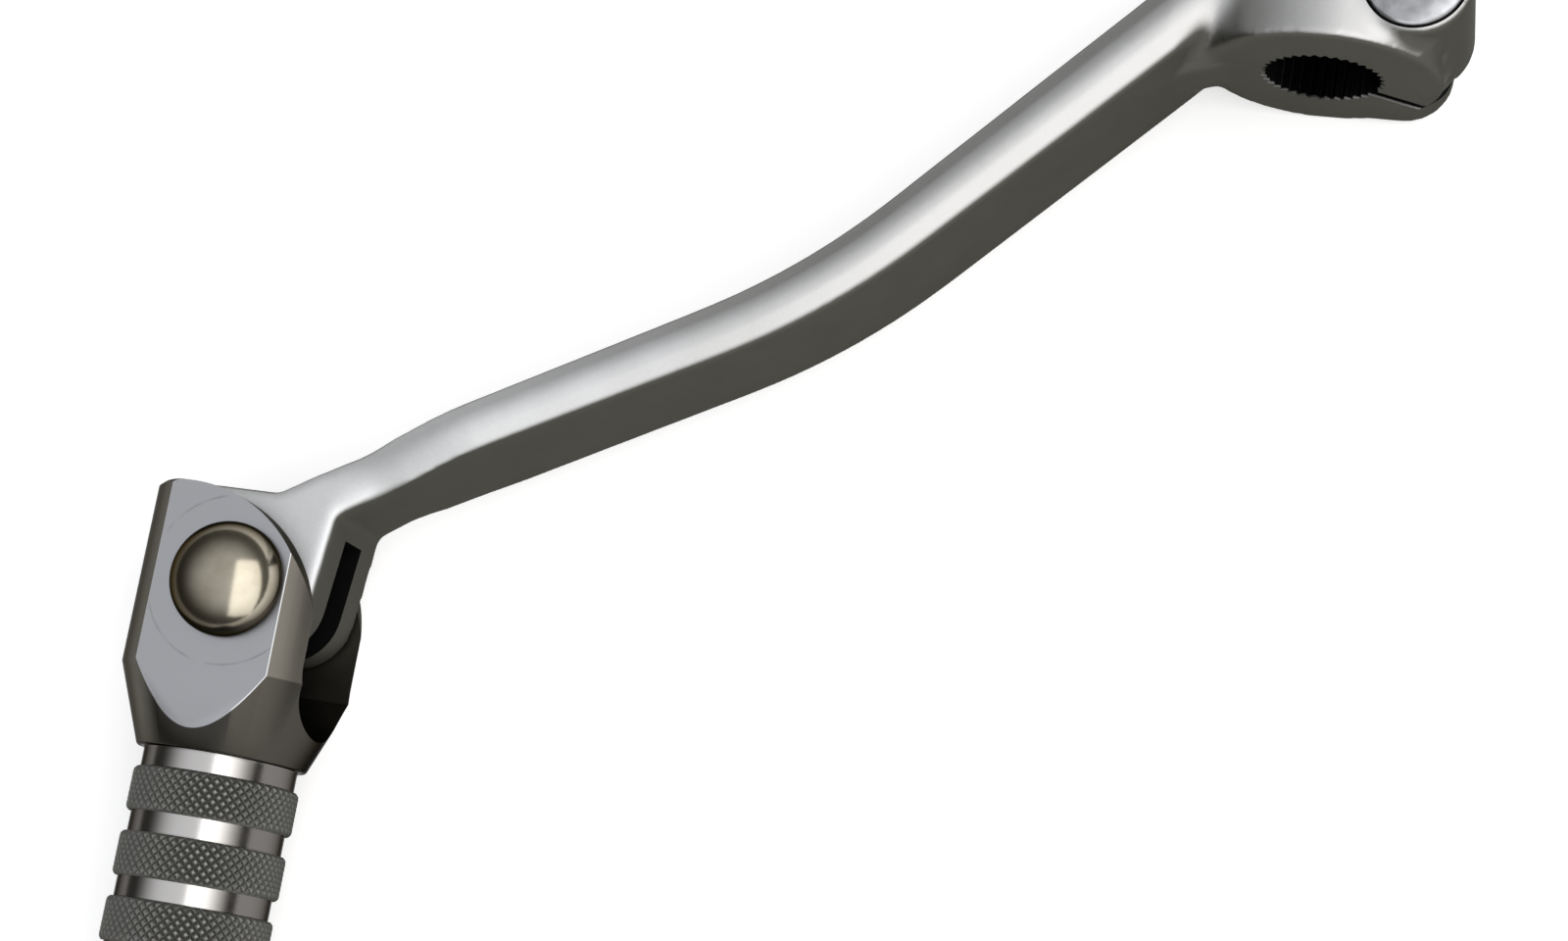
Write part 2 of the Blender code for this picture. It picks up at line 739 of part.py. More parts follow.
def seat_on_origin(shop):
    """Moves the whole part so that the origin is under its middle, on the lowest point."""
    bpy.context.view_layer.update()
    graph = bpy.context.evaluated_depsgraph_get()
    corners = []
    for obj in shop.parts.objects:
        if obj.type in ("MESH", "CURVE"):
            seen = obj.evaluated_get(graph)
            mesh = seen.to_mesh()
            corners += [seen.matrix_world @ vertex.co for vertex in mesh.vertices]
            seen.to_mesh_clear()
    low = Vector([min(corner[i] for corner in corners) for i in range(3)])
    high = Vector([max(corner[i] for corner in corners) for i in range(3)])
    middle = (low + high) / 2
    shop.root.location = (-middle.x, -middle.y, -low.z)


def main():
    clear_scene()
    shop = Workshop()
    lever_arm(shop)
    clamp_bolt(shop)
    folding_tip(shop)
    fold_pin(shop)
    pin_washer(shop)
    return_spring(shop)
    seat_on_origin(shop)


main()
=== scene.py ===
"""Folding gear shift lever of an off-road motorcycle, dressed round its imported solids.

Sizes are millimetres in the classes and become metres where a mesh is made. Every place is worked
out from the fold pin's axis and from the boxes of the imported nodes.
"""

import json
import logging
import math
from bisect import bisect_left
from collections.abc import Callable, Iterator
from contextlib import contextmanager
from dataclasses import dataclass
from enum import Enum
from functools import cached_property
from typing import Protocol

import bmesh
import bpy
from bmesh.types import BMEdge, BMesh, BMFace, BMVert
from bpy.types import Material, Mesh, Node, NodeSocket, NodeTree, Object
from mathutils import Matrix, Vector


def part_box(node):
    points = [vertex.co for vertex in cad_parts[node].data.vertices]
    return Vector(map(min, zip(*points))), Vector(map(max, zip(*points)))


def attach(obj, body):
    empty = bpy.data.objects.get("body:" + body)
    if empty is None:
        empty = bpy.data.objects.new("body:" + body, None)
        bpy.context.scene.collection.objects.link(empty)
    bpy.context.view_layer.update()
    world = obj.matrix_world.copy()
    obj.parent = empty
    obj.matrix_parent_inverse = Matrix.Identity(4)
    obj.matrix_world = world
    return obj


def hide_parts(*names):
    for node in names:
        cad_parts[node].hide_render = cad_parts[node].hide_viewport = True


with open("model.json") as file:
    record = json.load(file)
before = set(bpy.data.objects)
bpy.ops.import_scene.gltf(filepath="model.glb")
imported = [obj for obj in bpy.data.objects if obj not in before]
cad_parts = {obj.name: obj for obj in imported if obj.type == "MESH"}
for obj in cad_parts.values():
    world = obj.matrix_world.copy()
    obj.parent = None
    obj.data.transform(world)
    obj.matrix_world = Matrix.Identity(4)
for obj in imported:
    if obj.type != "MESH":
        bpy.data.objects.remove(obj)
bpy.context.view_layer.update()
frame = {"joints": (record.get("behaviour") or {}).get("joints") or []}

MM = 0.001
# Degrees past which an edge isn't smoothed over.
SHARP = 30.0
# Lays a shape that was made along Z along -Y, inboard.
QUARTER = Matrix.Rotation(math.radians(90), 4, "X")
log = logging.getLogger("gear_shift_lever")

Colour = tuple[float, float, float]
Pair = tuple[float, float]
Place = tuple[float, float, float]
# A plain level, then what two noises add to it.
Levels = tuple[float, float, float]


class Body(Enum):
    """Rigid bodies that the pieces ride on."""

    ARM = "arm"
    TIP = "tip"


# --- shader maths ---


def operator(operation: str, swapped: bool = False) -> Callable[..., "Value"]:
    """Makes a method of a value that stands for one Math node.

    Args:
        operation: the node's operation.
        swapped: whether the value comes after the other one.

    Returns:
        The method, which takes the other value if the operation works on two.
    """

    def apply(self: "Value", *others: "Value | float") -> "Value":
        """Feeds the values into the node."""
        values = (*others, self) if swapped else (self, *others)
        return self.shader.math(operation, *values)

    return apply


class Value:
    """A shader socket that Python's operators turn into Math nodes."""

    __add__ = __radd__ = operator("ADD")
    __sub__ = operator("SUBTRACT")
    __rsub__ = operator("SUBTRACT", swapped=True)
    __mul__ = operator("MULTIPLY")
    __truediv__ = operator("DIVIDE")
    __pow__ = operator("POWER")
    sine = operator("SINE")
    size = operator("ABSOLUTE")
    root = operator("SQRT")

    def __init__(self, shader: "Graph", socket: NodeSocket) -> None:
        """Wraps one output socket of a graph."""
        self.shader = shader
        self.socket = socket

    def raising(self, plain: float, share: float) -> "Value":
        """A plain level that is raised by a share of this."""
        return plain + self * share

    def waves(self, pitch: float) -> "Value":
        """Waves from 0 to 1, a pitch apart along this."""
        return (self * (2 * math.pi / pitch)).sine() * 0.5 + 0.5

    def between(self, low: float, high: float) -> "Value":
        """Rises smoothly from 0 to 1 as this goes from low to high."""
        node = self.shader.node(
            "ShaderNodeMapRange",
            {"interpolation_type": "SMOOTHSTEP"},
            {"Value": self, "From Min": low, "From Max": high},
        )
        return Value(self.shader, node.outputs["Result"])


def off_axis(first: Value, second: Value) -> Value:
    """Distance from an axis, by how far two directions square to it lead away."""
    return (first**2 + second**2).root()


class Graph:
    """A node tree whose nodes all come from one method."""

    def __init__(self, tree: NodeTree) -> None:
        """Wraps a node tree."""
        self.tree = tree

    def node(
        self, kind: str, settings: dict | None = None, sockets: dict | None = None
    ) -> Node:
        """Adds a node.

        Args:
            kind: the node's Blender type.
            settings: what is set before its sockets, such as an operation.
            sockets: values or links, by socket name, identifier or number.

        Returns:
            The new node.
        """
        made = self.tree.nodes.new(kind)
        for name, value in (settings or {}).items():
            setattr(made, name, value)
        for name, value in (sockets or {}).items():
            self.feed(self._socket(made, name), value)
        return made

    @staticmethod
    def _socket(node: Node, name: str | int) -> NodeSocket:
        """Input of a node by number, identifier or name."""
        if isinstance(name, int):
            return node.inputs[name]
        for socket in node.inputs:
            if socket.identifier == name:
                return socket
        return node.inputs[name]

    def feed(self, socket: NodeSocket, value: object) -> None:
        """Links a value to a socket, or writes it there if it is a constant."""
        if isinstance(value, Value):
            value = value.socket
        if isinstance(value, NodeSocket):
            self.tree.links.new(value, socket)
        elif isinstance(value, tuple) and socket.type == "RGBA":
            socket.default_value = (*value, 1.0)
        else:
            socket.default_value = value

    def math(self, operation: str, *values: Value | float) -> Value:
        """One Math node on one or two values."""
        node = self.node("ShaderNodeMath", {"operation": operation}, dict(enumerate(values)))
        return Value(self, node.outputs[0])

    def parts(self, vector: NodeSocket) -> list[Value]:
        """The X, Y and Z of a vector."""
        made = self.node("ShaderNodeSeparateXYZ", None, {0: vector})
        return [Value(self, out) for out in made.outputs]

    def dot(self, vector: NodeSocket, way: Vector) -> Value:
        """Length of a vector along a unit direction."""
        made = self.node(
            "ShaderNodeVectorMath", {"operation": "DOT_PRODUCT"}, {0: vector, 1: tuple(way)}
        )
        return Value(self, made.outputs["Value"])

    def blend(
        self, share: Value | float, first: object, second: object, kind: str = "MIX"
    ) -> NodeSocket:
        """Mixes two colours.

        Args:
            share: 0 for the first, 1 for the second.
            first: colour or link.
            second: colour or link.
            kind: how they are mixed.

        Returns:
            The mixed colour.
        """
        made = self.node(
            "ShaderNodeMix",
            {"data_type": "RGBA", "blend_type": kind},
            {"Factor_Float": share, "A_Color": first, "B_Color": second},
        )
        return next(out for out in made.outputs if out.identifier == "Result_Color")


class Shader(Graph):
    """Node tree of one finish, built round a Principled BSDF."""

    def __init__(self, name: str) -> None:
        """Starts an empty material of that name."""
        self.material = bpy.data.materials.new(name)
        self.material.use_nodes = True
        super().__init__(self.material.node_tree)
        self.surface = self.tree.nodes["Principled BSDF"]
        self.place = self.node("ShaderNodeTexCoord").outputs["Object"]

    def axes(self, centre: Place = (0, 0, 0)) -> tuple[Value, Value, Value]:
        """Position on the piece along X, Y and Z, in millimetres from a centre in millimetres."""
        return tuple(part / MM - at for part, at in zip(self.parts(self.place), centre))

    def facing(self, limits: Pair, way: Place = (0, 0, 1)) -> Value:
        """How far the surface faces a way, up by default: a cosine, spread from 0 to 1."""
        normal = self.node("ShaderNodeNewGeometry").outputs["Normal"]
        return self.dot(normal, Vector(way).normalized()).between(*limits)

    def noise(self, pitch: float, detail: float = 2.0, stretch: Place = (1, 1, 1)) -> Value:
        """Cloudy noise from 0 to 1.

        Args:
            pitch: size of one cloud in millimetres.
            detail: how many finer layers it has.
            stretch: how many times longer the clouds are along each axis.

        Returns:
            The noise as a value.
        """
        scale = tuple(1 / length for length in stretch)
        place = self.node("ShaderNodeMapping", None, {"Vector": self.place, "Scale": scale})
        made = self.node(
            "ShaderNodeTexNoise",
            None,
            {"Vector": place.outputs[0], "Scale": 1 / (pitch * MM), "Detail": detail},
        )
        return Value(self, made.outputs["Fac"])

    def bump(self, height: Value, depth: float) -> NodeSocket:
        """Normal of a surface whose height runs over a depth in millimetres."""
        made = self.node(
            "ShaderNodeBump", None, {"Height": height, "Distance": depth * MM, "Strength": 1.0}
        )
        return made.outputs["Normal"]

    def finish(
        self, colour: object, roughness: object, normal: object = None, rim: float = 1.0
    ) -> Material:
        """Feeds the surface and hands the material over.

        Args:
            colour: base colour.
            roughness: roughness.
            normal: bumped normal, if it has one.
            rim: how much of its light it keeps where it is seen edge on.

        Returns:
            The material.
        """
        self.feed(self.surface.inputs["Base Color"], colour)
        self.feed(self.surface.inputs["Roughness"], roughness)
        self.surface.inputs["Metallic"].default_value = 1.0
        self.surface.inputs["Specular Tint"].default_value = (rim, rim, rim, 1.0)
        if normal is not None:
            self.feed(self.surface.inputs["Normal"], normal)
        return self.material


# --- layout ---


@dataclass(frozen=True)
class Layout:
    """The lever's axes in its frame and the sizes that several pieces share, in millimetres."""

    pin: Vector
    bore: Vector
    hub_width: float = 13.8
    hub_radius: float = 12.0
    bolt_back: float = 8.5
    pin_hole: float = 3.58
    slit_angle: float = math.radians(33)
    slit_width: float = 1.3
    slot_height: float = 4.6
    slot_root: float = 6.6

    @classmethod
    def from_frame(cls, pin_to_bore: float = 100.85) -> "Layout":
        """Reads the pin's axis from the joint and the hub's place from the arm's box."""
        low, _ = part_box("lever_arm")
        pin = Vector(frame["joints"][0]["pos_m"]) / MM
        middle = low.y / MM + cls.hub_width / 2
        return cls(pin, Vector((pin.x - pin_to_bore, middle, low.z / MM + cls.hub_radius)))

    def from_pin(self, x: float, y: float, z: float = 0.0) -> Vector:
        """A place given from the pin's axis at mid height."""
        return self.pin + Vector((x, y, z))

    def from_bore(self, x: float, y: float, z: float = 0.0) -> Vector:
        """A place given from the bore's axis at the hub's middle plane."""
        return self.bore + Vector((x, y, z))


# --- finishes ---


class Finish(Protocol):
    """What a finish carries: a slot of the record, which nothing here reads, and a material."""

    slot: str
    look: Material


@dataclass(frozen=True)
class ForgedFinish:
    """Tumbled forging: a satin crown, lighter towards the tip as a painted highlight, flanks and
    the side away from the lamp darkened as painted shade, a fine grain, and painted shade in the
    bore, slit and spring slot.
    """

    layout: Layout
    slot: str = "forged_aluminium"
    # Painted light and shade: the crown colour holds on surfaces that face up and towards the lamp.
    crown: Colour = (0.61, 0.61, 0.615)
    painted_flank_shade_limits: Pair = (0.4, 0.85)
    # Painted highlight: the crown is lighter towards the tip, and the side away from the lamp is
    # darkened less there.
    tip_painted_highlight: Colour = (0.90, 0.91, 0.93)
    tip_reach: Pair = (20.0, 76.0)
    tip_painted_light_lift: float = 0.7
    tip_roughness: float = 0.16
    lit_side: Place = (-0.25, 0.35, 0.9)
    lit_limits: Pair = (0.3, 0.85)
    unlit: float = 0.45
    # Painted shade on surfaces that face sideways, down or away from the lamp.
    painted_flank_shade: Colour = (0.105, 0.103, 0.091)
    # Painted shade: near black inside the bore, the slit and the spring slot.
    cut: Colour = (0.012, 0.012, 0.012)
    # A random mottle, multiplied over the painted light and shade of the skin.
    mottle_over_painted_light: Colour = (0.88, 0.88, 0.86)
    tone: Levels = (0.86, 0.16, 0.12)
    tone_limits: Pair = (0.9, 1.1)
    roughness: Levels = (0.43, 0.05, 0.06)
    rim: float = 0.35
    cloud: Pair = (5.0, 3.0)
    grain: Pair = (0.28, 2.0)
    grain_depth: float = 0.010
    bore_reach: float = 6.35
    slot_reach: float = 14.5

    def painted_opening_shade(self, shader: Shader) -> Value:
        """Mask of the painted shade: 1 inside the spindle bore, the slit and the spring slot, 0
        elsewhere, softly edged.
        """
        layout = self.layout
        hub, slit, slot = layout.hub_width / 2, layout.slit_width / 2, layout.slot_height / 2
        forward, outboard, up = shader.axes(layout.bore)
        out_of_bore = off_axis(forward, up).between(self.bore_reach - 0.1, self.bore_reach)
        sunk = 1 - outboard.size().between(hub - 0.3, hub - 0.1)
        sine, cosine = math.sin(layout.slit_angle), math.cos(layout.slit_angle)
        from_slit = (forward * sine - up * cosine).size()
        rearward = (forward * -cosine - up * sine).between(0.0, 1.0)
        in_slit = rearward * (1 - from_slit.between(slit + 0.02, slit + 0.06))
        forward, outboard, up = shader.axes(layout.pin)
        near = 1 - off_axis(forward, outboard).between(self.slot_reach, self.slot_reach + 0.5)
        past_root = outboard.between(-layout.slot_root - 0.04, -layout.slot_root)
        in_slot = near * past_root * (1 - up.size().between(slot + 0.01, slot + 0.05))
        return 1 - (1 - sunk * (1 - out_of_bore)) * (1 - sunk * in_slit) * (1 - in_slot)

    @cached_property
    def look(self) -> Material:
        """The material."""
        shader = Shader("tumbled_forging")
        cloud, grain = shader.noise(*self.cloud), shader.noise(*self.grain)

        def raised(plain: float, by_cloud: float, by_grain: float) -> Value:
            """A level that the clouds and the grain raise."""
            return plain + cloud * by_cloud + grain * by_grain

        forward, outboard, _ = shader.axes(self.layout.pin)
        away = off_axis(forward, outboard).between(*self.tip_reach)
        near = 1 - away
        # Painted shade: the crown gives way to the flank shade where the surface turns from the
        # lamp or from straight up.
        lit = shader.facing(self.lit_limits, self.lit_side) * (1 - self.unlit) + self.unlit
        # Painted light: near the tip more of the crown colour is kept on the side away from the
        # lamp.
        painted_light_share = lit + (1 - lit) * near * self.tip_painted_light_lift
        top = shader.facing(self.painted_flank_shade_limits) * painted_light_share
        # The skin is the painted light and shade: crown colour, lighter near the tip, over the
        # painted flank shade.
        skin = shader.blend(top, self.painted_flank_shade, shader.blend(away, self.tip_painted_highlight, self.crown))
        tone = raised(*self.tone).between(*self.tone_limits)
        mottle_over_painted_light = shader.blend(1.0, skin, shader.blend(tone, self.mottle_over_painted_light, (1.0, 1.0, 1.0)), "MULTIPLY")
        # Painted shade fills the bore, slit and spring slot.
        colour = shader.blend(self.painted_opening_shade(shader), mottle_over_painted_light, self.cut)
        rough = raised(*self.roughness) + near * self.tip_roughness
        return shader.finish(colour, rough, shader.bump(grain, self.grain_depth), self.rim)


@dataclass(frozen=True)
class MachinedFinish:
    """Milled flats and turned sides of the tip, with the cutter's fine lines; the turned sides
    carry painted light and shade by which way they face, and the cone painted shade.
    """

    centre: Place
    slot: str = "machined_aluminium"
    flat: Colour = (0.52, 0.525, 0.545)
    flat_height: float = 9.5
    # Painted light and shade on one turned surface, chosen by which way it faces: turned where it
    # faces up, side where it faces sideways or down.
    turned: Colour = (0.135, 0.127, 0.11)
    side: Colour = (0.15, 0.142, 0.126)
    painted_side_shade_limits: Pair = (0.0, 0.7)
    # Painted shade on the cone.
    cone: Colour = (0.062, 0.058, 0.050)
    cone_start: float = 9.1
    cone_end: float = 17.5
    # Painted highlight where the turned surface faces forward.
    front: Colour = (0.175, 0.168, 0.15)
    front_painted_light_side: Place = (1.0, 0.0, 0.25)
    front_painted_light_limits: Pair = (0.45, 0.8)
    ring: Colour = (0.22, 0.22, 0.24)
    ring_radius: float = 8.7
    ring_width: float = 0.16
    ring_share: float = 0.4
    ring_patches: Pair = (0.35, 0.7)
    rim: float = 0.2
    roughness: Pair = (0.30, 0.08)
    cloud: Pair = (3.0, 3.0)
    grain: Pair = (0.2, 1.0)
    line_pitch: float = 0.12
    line_share: float = 0.35
    depth: float = 0.006

    @cached_property
    def look(self) -> Material:
        """The material."""
        shader = Shader("machined_tip")
        forward, outboard, up = shader.axes(self.centre)
        top = up.size().between(self.flat_height - 0.04, self.flat_height)
        cloud, grain = shader.noise(*self.cloud), shader.noise(*self.grain)
        off_ring = (off_axis(forward, outboard) - self.ring_radius).size() / self.ring_width
        ring = (1 - off_ring.between(0.4, 1.0)) * top * cloud.between(*self.ring_patches)
        # Painted light and shade by which way the turned surface faces.
        round_side_painted_shade = shader.blend(shader.facing(self.painted_side_shade_limits), self.side, self.turned)
        past_cone = outboard.between(self.cone_end - 0.1, self.cone_end + 0.1)
        cone_painted_shade_mask = outboard.between(self.cone_start - 0.1, self.cone_start + 0.1) * (1 - past_cone)
        # Painted shade on the cone.
        turned_side_painted_shade = shader.blend(cone_painted_shade_mask, round_side_painted_shade, self.cone)
        ahead_painted_light = shader.facing(self.front_painted_light_limits, self.front_painted_light_side)
        outside = shader.blend(ahead_painted_light, turned_side_painted_shade, self.front)
        milled = shader.blend(top, outside, self.flat)
        colour = shader.blend(ring * self.ring_share, milled, self.ring)
        lines = outboard.waves(self.line_pitch) * self.line_share * (1 - top)
        normal = shader.bump(lines + grain * (1 - self.line_share), self.depth)
        return shader.finish(colour, cloud.raising(*self.roughness), normal, self.rim)


@dataclass(frozen=True)
class KnurlFinish:
    """Knurled rings: dull crests over grooves darkened as painted shade, with painted shade on the
    rear-facing side.
    """

    axis_forward: float
    axis_up: float
    crest: float
    groove: float
    slot: str = "machined_aluminium"
    # Painted light and shade: high on the crests, low as painted shade in the grooves, and the
    # third colour as painted shade on the rear-facing side.
    high: Colour = (0.30, 0.30, 0.285)
    low: Colour = (0.18, 0.18, 0.17)
    dim: Colour = (0.11, 0.11, 0.102)
    lit_side: Place = (0.6, 0.0, 0.8)
    lit_limits: Pair = (-0.3, 0.8)
    roughness: Pair = (0.5, 0.12)
    rim: float = 0.2
    grain: Pair = (0.25, 2.0)
    depth: float = 0.008

    @cached_property
    def look(self) -> Material:
        """The material."""
        shader = Shader("knurled_rings")
        forward, _, up = shader.axes((self.axis_forward, 0, self.axis_up))
        # Painted shade: darker from the crests down into the grooves.
        share = off_axis(forward, up).between(self.groove, self.crest)
        lit = shader.facing(self.lit_limits, self.lit_side)
        colour = shader.blend(lit, self.dim, shader.blend(share, self.low, self.high))
        grain = shader.noise(*self.grain)
        normal = shader.bump(grain, self.depth)
        return shader.finish(colour, grain.raising(*self.roughness), normal, self.rim)


@dataclass(frozen=True)
class GrooveFinish:
    """Turned neck between the rings: a painted highlight where it faces up towards the lamp,
    painted shade on its sides.
    """

    slot: str = "machined_aluminium"
    # Painted highlight where the neck faces up towards the lamp; side is painted shade elsewhere.
    colour: Colour = (0.72, 0.70, 0.68)
    side: Colour = (0.15, 0.142, 0.135)
    lit_side: Place = (-0.2, 0.0, 0.98)
    lit_limits: Pair = (0.8, 1.0)
    roughness: Pair = (0.16, 0.08)
    rim: float = 0.2
    grain: Pair = (0.5, 2.0)
    line_pitch: float = 0.16
    depth: float = 0.004

    @cached_property
    def look(self) -> Material:
        """The material."""
        shader = Shader("turned_neck")
        _, outboard, _ = shader.axes()
        # Painted light and shade by which way the neck faces.
        lit = shader.facing(self.lit_limits, self.lit_side)
        colour = shader.blend(lit, self.side, self.colour)
        rough = shader.noise(*self.grain).raising(*self.roughness)
        normal = shader.bump(outboard.waves(self.line_pitch), self.depth)
        return shader.finish(colour, rough, normal, self.rim)


@dataclass(frozen=True)
class PolishedFinish:
    """Polished steel with a warm tone and hair scratches, and painted shade at the dome's foot and
    on the side away from the lamp.
    """

    slot: str = "polished_steel"
    colour: Colour = (0.50, 0.46, 0.375)
    stain: Colour = (0.40, 0.36, 0.28)
    stain_limits: Pair = (0.35, 0.75)
    # Painted shade at the dome's foot and on the side away from the lamp.
    foot: Colour = (0.085, 0.074, 0.056)
    lit_side: Place = (-0.42, 0.0, 0.9)
    lit_limits: Pair = (0.5, 0.96)
    roughness: Levels = (0.13, 0.05, 0.05)
    rim: float = 0.3
    cloud: Pair = (4.0, 3.0)
    hair: Pair = (0.12, 2.0)
    hair_stretch: Place = (1, 6, 1)
    depth: float = 0.0015

    @cached_property
    def look(self) -> Material:
        """The material."""
        shader = Shader("polished_steel")
        cloud, hair = shader.noise(*self.cloud), shader.noise(*self.hair, self.hair_stretch)
        body = shader.blend(cloud.between(*self.stain_limits), self.colour, self.stain)
        # Painted shade where the surface turns away from the lamp.
        lit = shader.facing(self.lit_limits, self.lit_side)
        plain, by_cloud, by_hair = self.roughness
        rough = cloud.raising(plain, by_cloud) + hair * by_hair
        normal = shader.bump(hair, self.depth)
        return shader.finish(shader.blend(lit, self.foot, body), rough, normal, self.rim)


@dataclass(frozen=True)
class PlatedFinish:
    """Zinc plated steel with a dull mottle."""

    name: str = "plated_steel"
    slot: str = "plated_steel"
    colour: Colour = (0.52, 0.53, 0.55)
    mottle: Colour = (0.36, 0.36, 0.37)
    mottle_limits: Pair = (0.3, 0.7)
    roughness: Pair = (0.28, 0.12)
    cloud: Pair = (1.6, 3.0)
    grain: Pair = (0.2, 2.0)
    depth: float = 0.004

    @cached_property
    def look(self) -> Material:
        """The material."""
        shader = Shader(self.name)
        cloud = shader.noise(*self.cloud)
        colour = shader.blend(cloud.between(*self.mottle_limits), self.colour, self.mottle)
        normal = shader.bump(shader.noise(*self.grain), self.depth)
        return shader.finish(colour, cloud.raising(*self.roughness), normal)


@dataclass(frozen=True)
class SpringFinish(PlatedFinish):
    """Dark oiled spring wire, built like the plating and mottled where it is rubbed."""

    name: str = "oiled_spring_wire"
    slot: str = "spring_steel"
    colour: Colour = (0.10, 0.085, 0.07)
    mottle: Colour = (0.26, 0.24, 0.21)
    mottle_limits: Pair = (0.5, 0.8)
    roughness: Pair = (0.4, 0.15)
    cloud: Pair = (0.9, 3.0)
    grain: Pair = (0.9, 3.0)
    depth: float = 0.006


# --- solids ---


def placed(name: str, data: bpy.types.ID) -> Object:
    """Puts a mesh, a curve, a lamp or a camera into the scene."""
    made = bpy.data.objects.new(name, data)
    bpy.context.scene.collection.objects.link(made)
    return made


def shade(mesh: Mesh, sharp: float) -> None:
    """Smooths a mesh over all edges but those that turn by more than an angle in degrees."""
    mesh.shade_smooth()
    mesh.set_sharp_from_angle(angle=math.radians(sharp))


def evaluated(piece: Object) -> Mesh:
    """The mesh that a piece shows, its modifiers or its curve worked out."""
    bpy.context.view_layer.update()
    seen = piece.evaluated_get(bpy.context.evaluated_depsgraph_get())
    return bpy.data.meshes.new_from_object(seen)


class Solid:
    """A closed shape worked on with bmesh operators, in millimetres until it is kept."""

    def __init__(self, mesh: BMesh | None = None) -> None:
        """Starts from a mesh, or empty."""
        self.mesh = bmesh.new() if mesh is None else mesh

    @classmethod
    def turned(cls, profile: list[Pair], steps: int, place: Matrix) -> "Solid":
        """Turns a profile.

        Args:
            profile: (radius, height) points from one end to the other.
            steps: facets round the full turn.
            place: where the turning axis goes, from Z at the origin.

        Returns:
            The turned shape.
        """
        made = cls()
        verts = [made.mesh.verts.new((radius, 0, height)) for radius, height in profile]
        edges = [made.mesh.edges.new(pair) for pair in zip(verts, verts[1:])]
        bmesh.ops.spin(
            made.mesh, geom=verts + edges, cent=(0, 0, 0), axis=(0, 0, 1), angle=2 * math.pi,
            steps=steps, use_merge=True, use_duplicate=False,
        )
        return made.closed().moved(place)

    @classmethod
    def bar(cls, radius: float, start: Place, end: Place, segments: int = 96) -> "Solid":
        """A round bar.

        Args:
            radius: its radius.
            start: middle of one end.
            end: middle of the other end.
            segments: facets round it.

        Returns:
            The bar.
        """
        made = cls()
        axis = Vector(end) - Vector(start)
        bmesh.ops.create_cone(
            made.mesh, cap_ends=True, segments=segments, radius1=radius, radius2=radius,
            depth=axis.length,
        )
        middle = Matrix.Translation(Vector(start) + axis / 2)
        return made.moved(middle @ axis.to_track_quat("Z", "Y").to_matrix().to_4x4())

    @classmethod
    def block(cls, low: Place, high: Place) -> "Solid":
        """A box between two opposite corners."""
        made = cls()
        bmesh.ops.create_cube(made.mesh, size=1)
        size = Vector(high) - Vector(low)
        middle = (Vector(high) + Vector(low)) / 2
        return made.moved(Matrix.Translation(middle) @ Matrix.Diagonal((*size, 1)))

    @classmethod
    def plate(cls, corners: list[Place], low: float, high: float) -> "Solid":
        """A plate of a given outline.

        Args:
            corners: (x, y, radius) of each corner in turn.
            low: height of the underside.
            high: height of the top.

        Returns:
            The plate, its upright edges rounded by their own radii.
        """
        made = cls()
        verts = [made.mesh.verts.new((x, y, low)) for x, y, _ in corners]
        made.mesh.faces.new(verts)
        made.thicken(high - low)
        spots = [Vector((x, y)) for x, y, _ in corners]
        for before, spot, after, (_, _, radius) in zip(
            spots[-1:] + spots, spots, spots[1:] + spots[:1], corners
        ):
            if radius > 0:
                upright = [
                    edge for edge in made.mesh.edges
                    if all((vert.co.xy - spot).length < 1e-4 for vert in edge.verts)
                ]
                half = (before - spot).angle(after - spot) / 2
                made.bevel(upright, offset=radius / math.tan(half), segments=10)
        return made.closed()

    def thicken(self, height: float) -> None:
        """Extrudes all faces upwards."""
        grown = bmesh.ops.extrude_face_region(self.mesh, geom=self.mesh.faces[:])["geom"]
        top = [item for item in grown if isinstance(item, BMVert)]
        bmesh.ops.translate(self.mesh, vec=(0, 0, height), verts=top)

    def bevel(self, edges: list[BMEdge], **settings: float) -> None:
        """Rounds edges, with an offset and a number of segments."""
        bmesh.ops.bevel(
            self.mesh, geom=edges, offset_type="OFFSET", affect="EDGES", profile=0.5, material=-1,
            **settings,
        )

    def ease_edges(
        self, width: float, segments: int, sharper: float, above: float = -math.inf
    ) -> "Solid":
        """Rounds edges.

        Args:
            width: how far from an edge the rounding starts.
            segments: its steps.
            sharper: angle in degrees that an edge has to turn by.
            above: height that it has to lie above.

        Returns:
            The same shape.
        """
        edges = [
            edge for edge in self.mesh.edges
            if edge.calc_face_angle(0) > math.radians(sharper)
            and min(vert.co.z for vert in edge.verts) > above
        ]
        self.bevel(edges, offset=width, segments=segments, clamp_overlap=True)
        return self

    def closed(self) -> "Solid":
        """Merges doubles and points the faces outwards."""
        bmesh.ops.remove_doubles(self.mesh, verts=self.mesh.verts, dist=1e-4)
        bmesh.ops.recalc_face_normals(self.mesh, faces=self.mesh.faces)
        return self

    def moved(self, place: Matrix) -> "Solid":
        """Puts the shape in its place."""
        bmesh.ops.transform(self.mesh, matrix=place, verts=self.mesh.verts)
        return self

    def joined(self, other: "Solid") -> "Solid":
        """Takes in another shape, which may overlap this one."""
        spare = bpy.data.meshes.new("spare")
        other.mesh.to_mesh(spare)
        other.mesh.free()
        self.mesh.from_mesh(spare)
        bpy.data.meshes.remove(spare)
        return self

    def keep(self, name: str, sharp: float = SHARP) -> Object:
        """Makes the object, in metres.

        Args:
            name: the piece's name.
            sharp: angle in degrees past which an edge isn't smoothed over.

        Returns:
            The object, at the origin with its place in its mesh.
        """
        bmesh.ops.scale(self.mesh, vec=(MM, MM, MM), verts=self.mesh.verts)
        mesh = bpy.data.meshes.new(name)
        self.mesh.to_mesh(mesh)
        self.mesh.free()
        shade(mesh, sharp)
        return placed(name, mesh)


